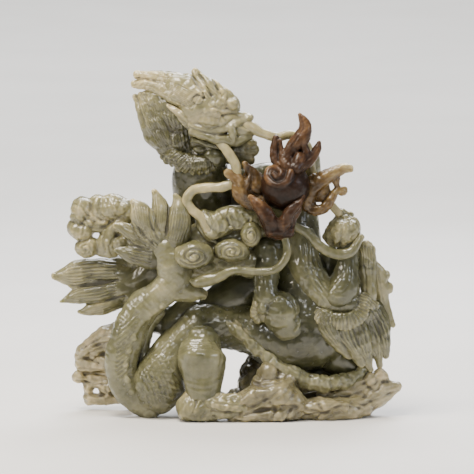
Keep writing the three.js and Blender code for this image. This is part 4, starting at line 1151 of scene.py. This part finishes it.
def make_near_foreleg():
    piece(
        "near_foreleg_scaled", ["near_foreleg"], CELADON,
        core=[
            limb([(22, -6.5, 84, 8.5), (21.5, -10, 75.5, 7), (21, -13.5, 68, 6), (21, -15, 61, 6.5)],
                sides=24), blob((28.5, -14.5, 54), (9.8, 8, 11)), blob((32.5, -14, 47), (9, 6.5, 9)),
            blob((19.5, -16.5, 56.5), (4, 5, 4)),
        ],
        voxel=0.42, polish=5,
        marks=[
            cut([(30, 64.5), (34.5, 62), (37.5, 56.5), (38, 50), (35.5, 45)], width=0.7, depth=-0.6),
            cut([(29.5, 62.5), (33.5, 60), (36, 55.5), (36, 50)], width=0.5, depth=0.4),
            cut([(22.5, 60), (26.5, 62.5), (31, 61.5)], width=0.6, depth=-0.3), knobs([(19.5, 57.5)], 2.2,
                0.6), lumps(11, 0.35, 27), lumps(4, 0.06, 28),
        ],
        tone=lambda co: 0.4 + 0.1 * waves(co, 12, 4) + 0.01 * np.clip(60 - co[:, 2], -10, 6),
    )
    piece(
        "foreleg_cuff_ribbed", ["foreleg_cuff"], PALE,
        core=[
            limb([(20, -14.5, 63, 4), (17, -16, 58, 3), (15.5, -16.5, 54, 2.7), (17, -16, 50, 2.3)],
                sides=18), blob((19.5, -14, 53.5), (4, 4.5, 5)),
        ],
        voxel=0.38, polish=3, marks=[cut(*rays(19.5, 55, 2.5, 9, 150, 262, 6), width=0.7, depth=0.4),
            lumps(6, 0.2, 28)], tone=mottled(0.5),
    )
    plates = [(-1, -9.5, 50, 2.5), (4, -11, 47, 3.5), (9.5, -12, 42.5, 3.8), (15, -13.5, 36.5, 3.5),
        (21, -14, 32, 3.3), (27.5, -14.5, 27, 3.5), (34.5, -14.5, 22.5, 4), (42, -14, 19, 4.3),
        (51, -13.5, 17.5, 4.3), (60.5, -11, 18.5, 4), (67, -9, 21.5, 3), (71, -7.5, 25, 2)]
    rim = [(1, 52), (8, 47), (14.5, 41), (22, 35), (30, 29), (38, 24), (48, 21.5), (59, 22.5), (66, 26.5)]
    piece(
        "belly_plates_banded", ["belly_plates"], CELADON, core=[limb(plates, sides=26, depth=0.9)],
        voxel=0.38, marks=[bands(plates, 5.4, 0.26, 4.0), cut(rim, width=0.6, depth=0.35), lumps(9, 0.5, 29),
            lumps(4, 0.1, 30)],
        tone=mottled(0.66, 0.16, 14),
    )


# ---------------------------------------------------------------- pearl and flames
PEARL, PEARL_RADIUS = np.array([30.5, -15.5, 117.5]), 12.4


def flame_tone(co):
    """Dark at the pearl, through russet and amber, to pale at the tips."""
    away = np.linalg.norm((co - PEARL) * [1, 0.6, 1], axis=1)
    return 0.46 + 0.008 * np.clip(away - 12, 0, 40) + 0.12 * waves(co, 9, 2)


def on_pearl(x, z):
    """The pearl's front surface in the front view."""
    return PEARL[1] - math.sqrt(max(0.0, PEARL_RADIUS**2 - (x - PEARL[0]) ** 2 - (z - PEARL[2]) ** 2))


def make_pearl():
    swirl = [(36, 129.5), (34.5, 127.5), (33, 124.5), (31, 121), (27, 119.5), (23, 121), (21.5, 124),
        (23.5, 127), (27, 127), (28.5, 125), (26.5, 123), (24.5, 124.5)]
    piece(
        "flaming_pearl_swirled", ["flaming_pearl"], RUSSET,
        core=[blob(PEARL, [PEARL_RADIUS] * 3, sides=40),
              limb([(x, on_pearl(x, z) + 1.1 - 0.04 * k, z, 2.5 - 0.11 * k)
                    for k, (x, z) in enumerate(swirl)], sides=18, step=0.5)],
        voxel=0.36,
        marks=[cut([(34.6, 128.6), (35.8, 124.6), (34, 121), (31, 119.6)], [(20.5, 113.5), (25, 109.5),
                (32, 108), (39, 111)], width=0.7, depth=0.3),
               cut([(31, 126), (30, 123), (27.5, 121.3), (24.7, 122.2), (23.6, 124.6), (25.4, 126)],
                   width=0.5, depth=0.4), lumps(7, 0.14, 31)],
        tone=lambda co: 0.3 + 0.12 * waves(co, 10, 2)
        + 0.24 * np.clip(np.linalg.norm(co - PEARL, axis=1) - 12.5, 0, 1.6)
        + 0.016 * np.clip(co[:, 2] - 117, -10, 10),
    )
    piece(
        "pearl_base_flames_carved", ["pearl_base_flames"], RUSSET,
        core=[
            *limbs(20, [(13, -21.5, 112.6, 1.4), (16.5, -24, 110, 2.9), (20, -25, 106.3, 3.7),
                    (23, -24, 101, 4.1), (26, -21, 96.5, 4.4)], [(39.3, -22.5, 113.4, 1.3),
                    (36, -25, 109.2, 2.5), (32.2, -25.5, 105, 3.1), (30, -24.5, 100.4, 3.8),
                    (28.6, -21, 96.5, 4.4)]),
            blob((27.5, -17.5, 96), (7.4, 9.5, 5)), blob((23.6, -21.5, 96.4), (3.6, 5, 4.2)),
            blob((31.4, -20.5, 96), (3.8, 5.2, 4)),
            *limbs(14, [(15, -22, 110, 2), (19.5, -21, 104, 3), (23, -20, 98.5, 3.6)],
                [(37, -22, 108, 2.2), (33.6, -21, 102, 2.8), (31.4, -20, 97, 3.4)]),
        ],
        voxel=0.36, polish=6,
        marks=[
            cut([(14, 112.6), (18.5, 108.6), (22.5, 103), (25.6, 97)], [(38, 113), (33.5, 106.6), (30, 100)],
                [(17.5, 107), (20.6, 101.5), (22.6, 96)], width=0.8, depth=0.16),
            cut([(23.5, 98.5), (26.5, 93.5), (31, 95), (33.5, 99)], [(28, 103), (27.4, 98), (27.5, 93)],
                width=0.9, depth=0.2), lumps(6, 0.25, 32),
        ],
        tone=lambda co: 0.46 + 0.14 * waves(co, 7, 3)
        + 0.03 * np.clip(np.abs(co[:, 0] - 27) - 6, 0, 10) * (co[:, 2] > 106),
    )
    piece(
        "crown_flames_carved", ["crown_flames"], RUSSET,
        core=[
            limb([(37.5, -14.5, 153.5, 1), (39.5, -15, 150.5, 2.5), (40.5, -15.5, 146.5, 3.5),
                    (39, -16, 142.5, 4.3), (36, -16.5, 139.5, 4), (33, -17, 136, 3),
                    (31.5, -17.5, 132.5, 3.3), (32.5, -18, 128.5, 4.5)]),
            *limbs(18, [(47.5, -14.5, 139.5, 1.1), (46.5, -15, 136.5, 2.2), (44.5, -15.5, 133, 2.7),
                    (41.5, -16.5, 130, 3.2), (37.5, -17.5, 128, 3.8), (33, -18, 127, 4)],
                [(26, -15.5, 142, 1.8), (25.5, -16, 139, 2.3), (25, -16.5, 135, 2.4), (26, -17, 131, 3),
                    (30, -18, 128.5, 4)]),
            *limbs(14, [(27.5, -16.5, 140.5, 1.4), (28.5, -17, 136.5, 1.4), (29, -17.5, 134, 2.1),
                    (28.5, -17.5, 130.5, 2.2)], [(37, -17, 141.5, 2), (39.5, -17, 138, 2.1),
                    (41, -17, 134.5, 2.2), (40, -17, 131, 2.2), (37, -18, 129, 2.1)]),
            limb([(34.5, -17.5, 138.5, 1.3), (36, -18, 135, 1.3), (38, -18, 132, 1.3)], sides=12),
            *limbs(16, [(38, -18.5, 132.5, 3.3), (37, -20.5, 129.5, 3.5), (35.5, -22.5, 127, 3)],
                [(29.5, -18.5, 131.5, 3), (31.5, -20.5, 128.5, 3.2), (34, -22.5, 126.5, 2.5)]),
            blob((37, -14.5, 134.5), (5, 2, 5.5)), blob((27.5, -15, 131.5), (4, 2.6, 4.5)),
            blob((33, -15.5, 128.5), (8, 5, 3.5)),
        ],
        voxel=0.34, polish=5,
        marks=[
            cut([(38.5, 152), (39.5, 147.5), (37, 143), (33.5, 138)], [(46, 137), (43, 132.5), (38, 129.5)],
                width=0.5, depth=0.3),
            cut([(27, 139), (27, 135), (27, 131)], [(38, 138), (39, 134.5), (37.5, 131.5)], width=0.6,
                depth=0.4), lumps(6, 0.2, 33),
        ],
        tone=flame_tone,
    )
    piece(
        "left_flame_wing_carved", ["left_flame_wing"], AMBER,
        core=[
            limb([(20.5, -14.5, 109.5, 4.4), (13.5, -15, 110, 4.6), (9.6, -15.5, 115.5, 4.6),
                    (7.6, -15.5, 120, 3.6), (4.6, -15, 122.8, 2.6), (1.6, -14.6, 124.4, 2.2)]),
            *limbs(18, [(16, -13.6, 117, 5.6), (14.5, -14, 122.6, 3.6), (12, -14.6, 126.4, 2.4),
                    (10.2, -14.4, 129, 1.4)], [(12, -15, 110.5, 4), (7.6, -15.6, 113.4, 3.4),
                    (6.4, -15.8, 117.6, 3)]),
            limb([(8.6, -16.5, 113, 2.2), (11.6, -18, 117.6, 1.8), (12.6, -17, 122.6, 1.3)], sides=12),
            blob((14.5, -12.6, 120.6), (5.4, 2.4, 5)),
        ],
        voxel=0.34, polish=7,
        marks=[cut([(16, 108.6), (10, 111.6), (7.6, 116.6), (5.6, 121)], [(13, 111), (12.6, 117), (13, 122),
                (11.4, 126.6)], [(10.4, 112), (10, 117.6), (7, 122)], width=0.8, depth=0.2),
            lumps(7, 0.3, 34)],
        tone=lambda co: 0.44 + 0.03 * np.clip(8 - co[:, 0], -4, 10) + 0.12 * waves(co, 8, 4)
        - 0.3 * np.exp(-(((co[:, 0] - 12) / 1.6) ** 2 + ((co[:, 2] - 126) / 3) ** 2)),
    )
    piece(
        "right_flame_wing_carved", ["right_flame_wing"], AMBER,
        core=[
            limb([(41, -14, 110, 4.4), (43.4, -14.2, 116, 4.2), (48.4, -14.2, 120.4, 4),
                    (54, -13.8, 123.6, 3.5), (59.4, -13.4, 126, 2.9), (63.2, -13, 126, 2)]),
            limb([(41.5, -14, 108, 3.6), (46.5, -15, 105.4, 3), (51, -15, 107.4, 2.8),
                    (54, -14.8, 111.8, 2.3), (56, -14, 115.4, 2), (58.4, -13.2, 115, 2.2)], sides=16),
            blob((59.2, -13, 114.8), (2.7, 2.5, 2.7), sides=14),
            *limbs(10, [(43.4, -14.4, 120.4, 2), (45, -14, 122.6, 1.3)],
                [(56, -13.6, 120.6, 2.4), (56.4, -13.6, 117.6, 1.6)]),
            blob((48, -12.8, 114.4), (5.5, 2, 5.5)),
        ],
        voxel=0.34, polish=7,
        marks=[cut([(42.6, 110), (45.4, 116.6), (51, 120.4), (58, 123.6)],
                [(43, 107), (47.4, 106), (51.6, 109.6), (54, 114)], [(46, 118.6), (52, 123), (58.6, 126.4)],
                width=0.8, depth=0.2), lumps(7, 0.3, 35)],
        tone=lambda co: 0.42 + 0.012 * (co[:, 0] - 45) + 0.05 * np.clip(co[:, 2] - 122.6, 0, 6)
        + 0.1 * waves(co, 8, 5),
    )


# ---------------------------------------------------------------- whiskers, ribbons, rocks
def make_ribbons():
    """Round strands with two fine lines cut down the front."""

    def groove(angle, r):
        lines = np.exp(-(((np.cos(angle) ** 2 - 0.3) / 0.16) ** 2)) * (np.sin(angle) < 0)
        return -0.42 * lines * np.clip(r / 2, 0, 1)

    lines = [
        ("upper_whisker_drawn", "upper_whisker", 1.0, [(11, -8, 147.5, 3.4), (15, -9.3, 145.8, 2.9),
                (19, -10, 143.6, 2.5), (26, -10, 141.6, 2.4), (34, -9, 142.5, 2.2), (40, -8, 139, 2.1),
                (43, -7, 132.5, 2.1), (44, -6, 123.5, 2.1), (49, -6, 114.5, 2.1), (53.5, -7, 107.5, 2.1),
                (57.5, -8, 102.5, 2.1)]),
        ("lower_whisker_drawn", "lower_whisker", 1.0, [(-2.5, -10, 139.5, 2.2), (1, -12, 135.5, 2.4),
                (4.6, -13.3, 130.5, 2.5), (6.2, -14, 125.2, 2.5), (5, -14.4, 119.6, 2.4),
                (-1, -14.2, 117, 2.4), (-9, -14, 116.6, 2.3), (-15.5, -13, 115, 2.4), (-18.4, -13, 110, 2.5),
                (-16, -14, 105.5, 2.4), (-11, -14.6, 101.5, 2.4), (-8, -15, 95.5, 2.6)]),
        ("lower_ribbon_drawn", "lower_ribbon", 1.0, [(30.5, -21, 92, 2), (31.5, -22.5, 85.5, 2),
                (30, -23, 81, 2), (26, -23, 77, 2), (19, -23, 75.5, 2), (11, -23, 76, 1.9), (4, -23, 76, 2.1),
                (-2, -22.5, 73, 2.5), (-8.5, -21.5, 71, 3.2), (-13.5, -20.5, 70, 2.8),
                (-16, -19.5, 70.5, 1.5)]),
        ("right_ribbon_drawn", "right_ribbon", 1.15, [(31, -17.5, 99, 2), (40, -18, 95.4, 2),
                (47.5, -18, 88, 2.1), (55.5, -17, 83.6, 2.2), (63, -16, 84.5, 2.2), (68.4, -13.5, 92, 1.7)]),
    ]
    for name, node, width, stations in lines:
        piece(name, [node], PALE, fine=[limb(stations, sides=48, step=0.6, width=width, depth=1.0,
                relief=groove)],
              marks=[lumps(7, 0.12, 41)], tone=mottled(0.42 if "ribbon" in name else 0.84, 0.1, 12))


def rock(name, node, shapes, marks, seed, level=0.4):
    """A rough piece of the ground, paler towards the right."""
    piece(name, [node], WEATHERED, core=shapes, polish=3,
          marks=[*marks, hatch(5.2, 0.3, 1.9, bend=2.0), lumps(13, 0.7, seed), lumps(4.5, 0.14, seed + 1)],
          tone=lambda co: level + 0.006 * np.clip(co[:, 0] - 20, 0, 70) + 0.12 * waves(co, 14, seed))


def make_rocks():
    rock("front_rock_rough", "front_rock", [
        limb([(6, -20, 4, 6.5), (12, -20, 7.5, 7.8), (20, -20, 12, 8.4), (30, -20, 12, 8), (36, -20, 7, 6.4)],
            sides=14, step=3),
        blob((20, -20.5, 3.5), (18, 8, 4.4)), blob((10, -21, 3), (7, 6.5, 4)),
        blob((32, -20.5, 4), (7, 7, 5)),
        blob((17.5, -18.5, 18), (4.6, 5, 4.6)), blob((29, -18.5, 17.5), (6.4, 5.5, 4)),
        blob((22, -16.5, 23), (5.4, 5.5, 5.4)), blob((31, -15, 20.5), (6, 4.5, 4.5)),
        limb([(4, -24, 8, 3), (12, -25, 11.5, 3.4), (20, -25, 14.5, 3.4), (30, -25, 12.5, 3)], sides=12,
            step=2),
    ], [cut([(6, 9), (13, 8), (20, 11), (27, 16)], [(10, 3), (18, 6), (27, 8), (36, 8)],
            [(24, 2), (25.5, 6), (23, 10)], [(31, 1), (33, 6), (37, 8)],
            [(14, 20), (20, 18.5), (28, 20)], width=1.0, depth=0.9)], 51, 0.42)
    rock("right_rock_rough", "right_rock", [
        limb([(41, -15, 4.5, 6), (52, -16, 4.8, 6.4), (62, -14, 4.8, 6), (69, -10, 6, 6)], sides=14, step=3),
        limb([(41, -2, 4, 7), (56, -3, 4, 7.4), (69, -4, 4.5, 7)], sides=14, step=3),
        limb([(66, -6, 6, 6.5), (75, -6, 11, 7.2), (81, -5.5, 14, 6.2), (86.6, -5, 14.8, 2.4)], sides=14,
            step=3),
        limb([(76, -6, 13, 5.4), (79, -6, 20, 4.4)], sides=12, step=2),
        limb([(66, -7, 12, 4), (74, -6.5, 18, 4.6)], sides=12, step=2),
        limb([(50, -8, 10, 4.5), (60, -7, 12.5, 4.6), (70, -6.5, 16.5, 4.6)], sides=12, step=2),
        limb([(40, -21, 6, 3), (50, -22, 7.5, 3), (60, -20, 7, 3)], sides=12, step=2),
    ], [cut([(41, 6.5), (50, 4), (58, 7.5), (68, 6)], [(64, 9), (72, 7.5), (80, 10.5), (87, 13)],
            [(46, 1), (49, 5), (47, 10)], [(70, 17), (76, 14), (80, 18)],
            width=1.0, depth=0.8)], 53, 0.42)
    rock("back_rock_rough", "back_rock", [
        limb([(6, 16, 3, 7.5), (24, 17, 3, 8.5), (43, 16, 3, 8.5), (61, 14, 3, 7)], sides=14, step=3),
        limb([(31, 14, 6, 8), (37, 12.5, 17, 8.5)], sides=14, step=3),
        limb([(14, 12, 8, 8), (16, 10, 20, 8), (24, 8, 28, 7)], sides=14, step=3),
    ], [], 55, 0.3)


# ---------------------------------------------------------------- stage, light and camera
def make_stage():
    floor_mat = bpy.data.materials.new("matt_pale_studio_floor")
    floor_mat.use_nodes = True
    tree = floor_mat.node_tree
    place = add(tree, "ShaderNodeTexCoord").outputs["Object"]
    dust = add(tree, "ShaderNodeTexNoise", {"Vector": place, "Scale": 9.0, "Detail": 3.0})
    tree.links.new(ramp(tree, dust.outputs["Fac"], [(0.3, "#e6e4e0"), (0.7, "#eceae6")]),
        tree.nodes["Principled BSDF"].inputs["Base Color"])
    tree.nodes["Principled BSDF"].inputs["Roughness"].default_value = 0.7
    half = 3.0
    verts = np.array([(-half, -half, 0), (half, -half, 0), (half, half, 0), (-half, half, 0)])
    floor = bpy.data.objects.new("studio_floor", mesh_of(verts, [[0, 1, 2, 3]], "studio_floor"))
    floor.data.materials.append(floor_mat)
    bpy.context.scene.collection.objects.link(floor)
    world = bpy.data.worlds.new("soft_studio")
    world.use_nodes = True
    world.node_tree.nodes["Background"].inputs["Color"].default_value = colour("#c9ccd2")
    world.node_tree.nodes["Background"].inputs["Strength"].default_value = 0.36
    bpy.context.scene.world = world
    lamps = [
        ("overhead_softbox", (-0.15, -0.15, 0.75), 0.30, 9.0, "#fff6e8"),
        ("left_softbox", (-0.60, -0.35, 0.45), 0.22, 3.0, "#fff4e4"),
        ("right_softbox", (0.60, -0.25, 0.35), 0.22, 1.2, "#eaf0ff"),
        ("back_softbox", (0.15, 0.50, 0.50), 0.30, 3.0, "#f2f4ff"),
        ("front_strip", (0.02, -0.75, 0.55), 0.08, 1.0, "#ffffff"),
        ("backdrop_softbox", (0.0, 1.30, 1.60), 1.6, 60.0, "#ffffff"),
    ]
    for name, at, size, power, code in lamps:
        light = bpy.data.lights.new(name, "AREA")
        light.size = size
        light.energy = power
        light.color = colour(code)[:3]
        obj = bpy.data.objects.new(name, light)
        obj.location = at
        # the backdrop's lamp aims at the floor behind, the others at the carving
        goal = Vector((0, 1.6, 0) if name == "backdrop_softbox" else (0, 0, 0.09))
        obj.rotation_euler = (goal - Vector(at)).to_track_quat("-Z", "Y").to_euler()
        bpy.context.scene.collection.objects.link(obj)


def make_camera():
    """A long lens a little above the table, square on to the carved front."""
    aim = Vector((6.5, 0.0, 89.8)) * MM
    rise, away, view_width, sensor = math.radians(8), 4.0, 0.2375, 36.0
    cam = bpy.data.cameras.new("camera")
    cam.sensor_width = sensor
    cam.lens = sensor * away / view_width
    cam.clip_end = 20.0
    obj = bpy.data.objects.new("camera", cam)
    obj.location = aim + Vector((0, -math.cos(rise), math.sin(rise))) * away
    obj.rotation_euler = (aim - obj.location).to_track_quat("-Z", "Y").to_euler()
    bpy.context.scene.collection.objects.link(obj)
    bpy.context.scene.camera = obj


make_camera()
make_body()
make_tail()
make_head()
make_clouds()
make_raised_foreleg()
make_near_foreleg()
make_pearl()
make_ribbons()
make_rocks()
make_stage()
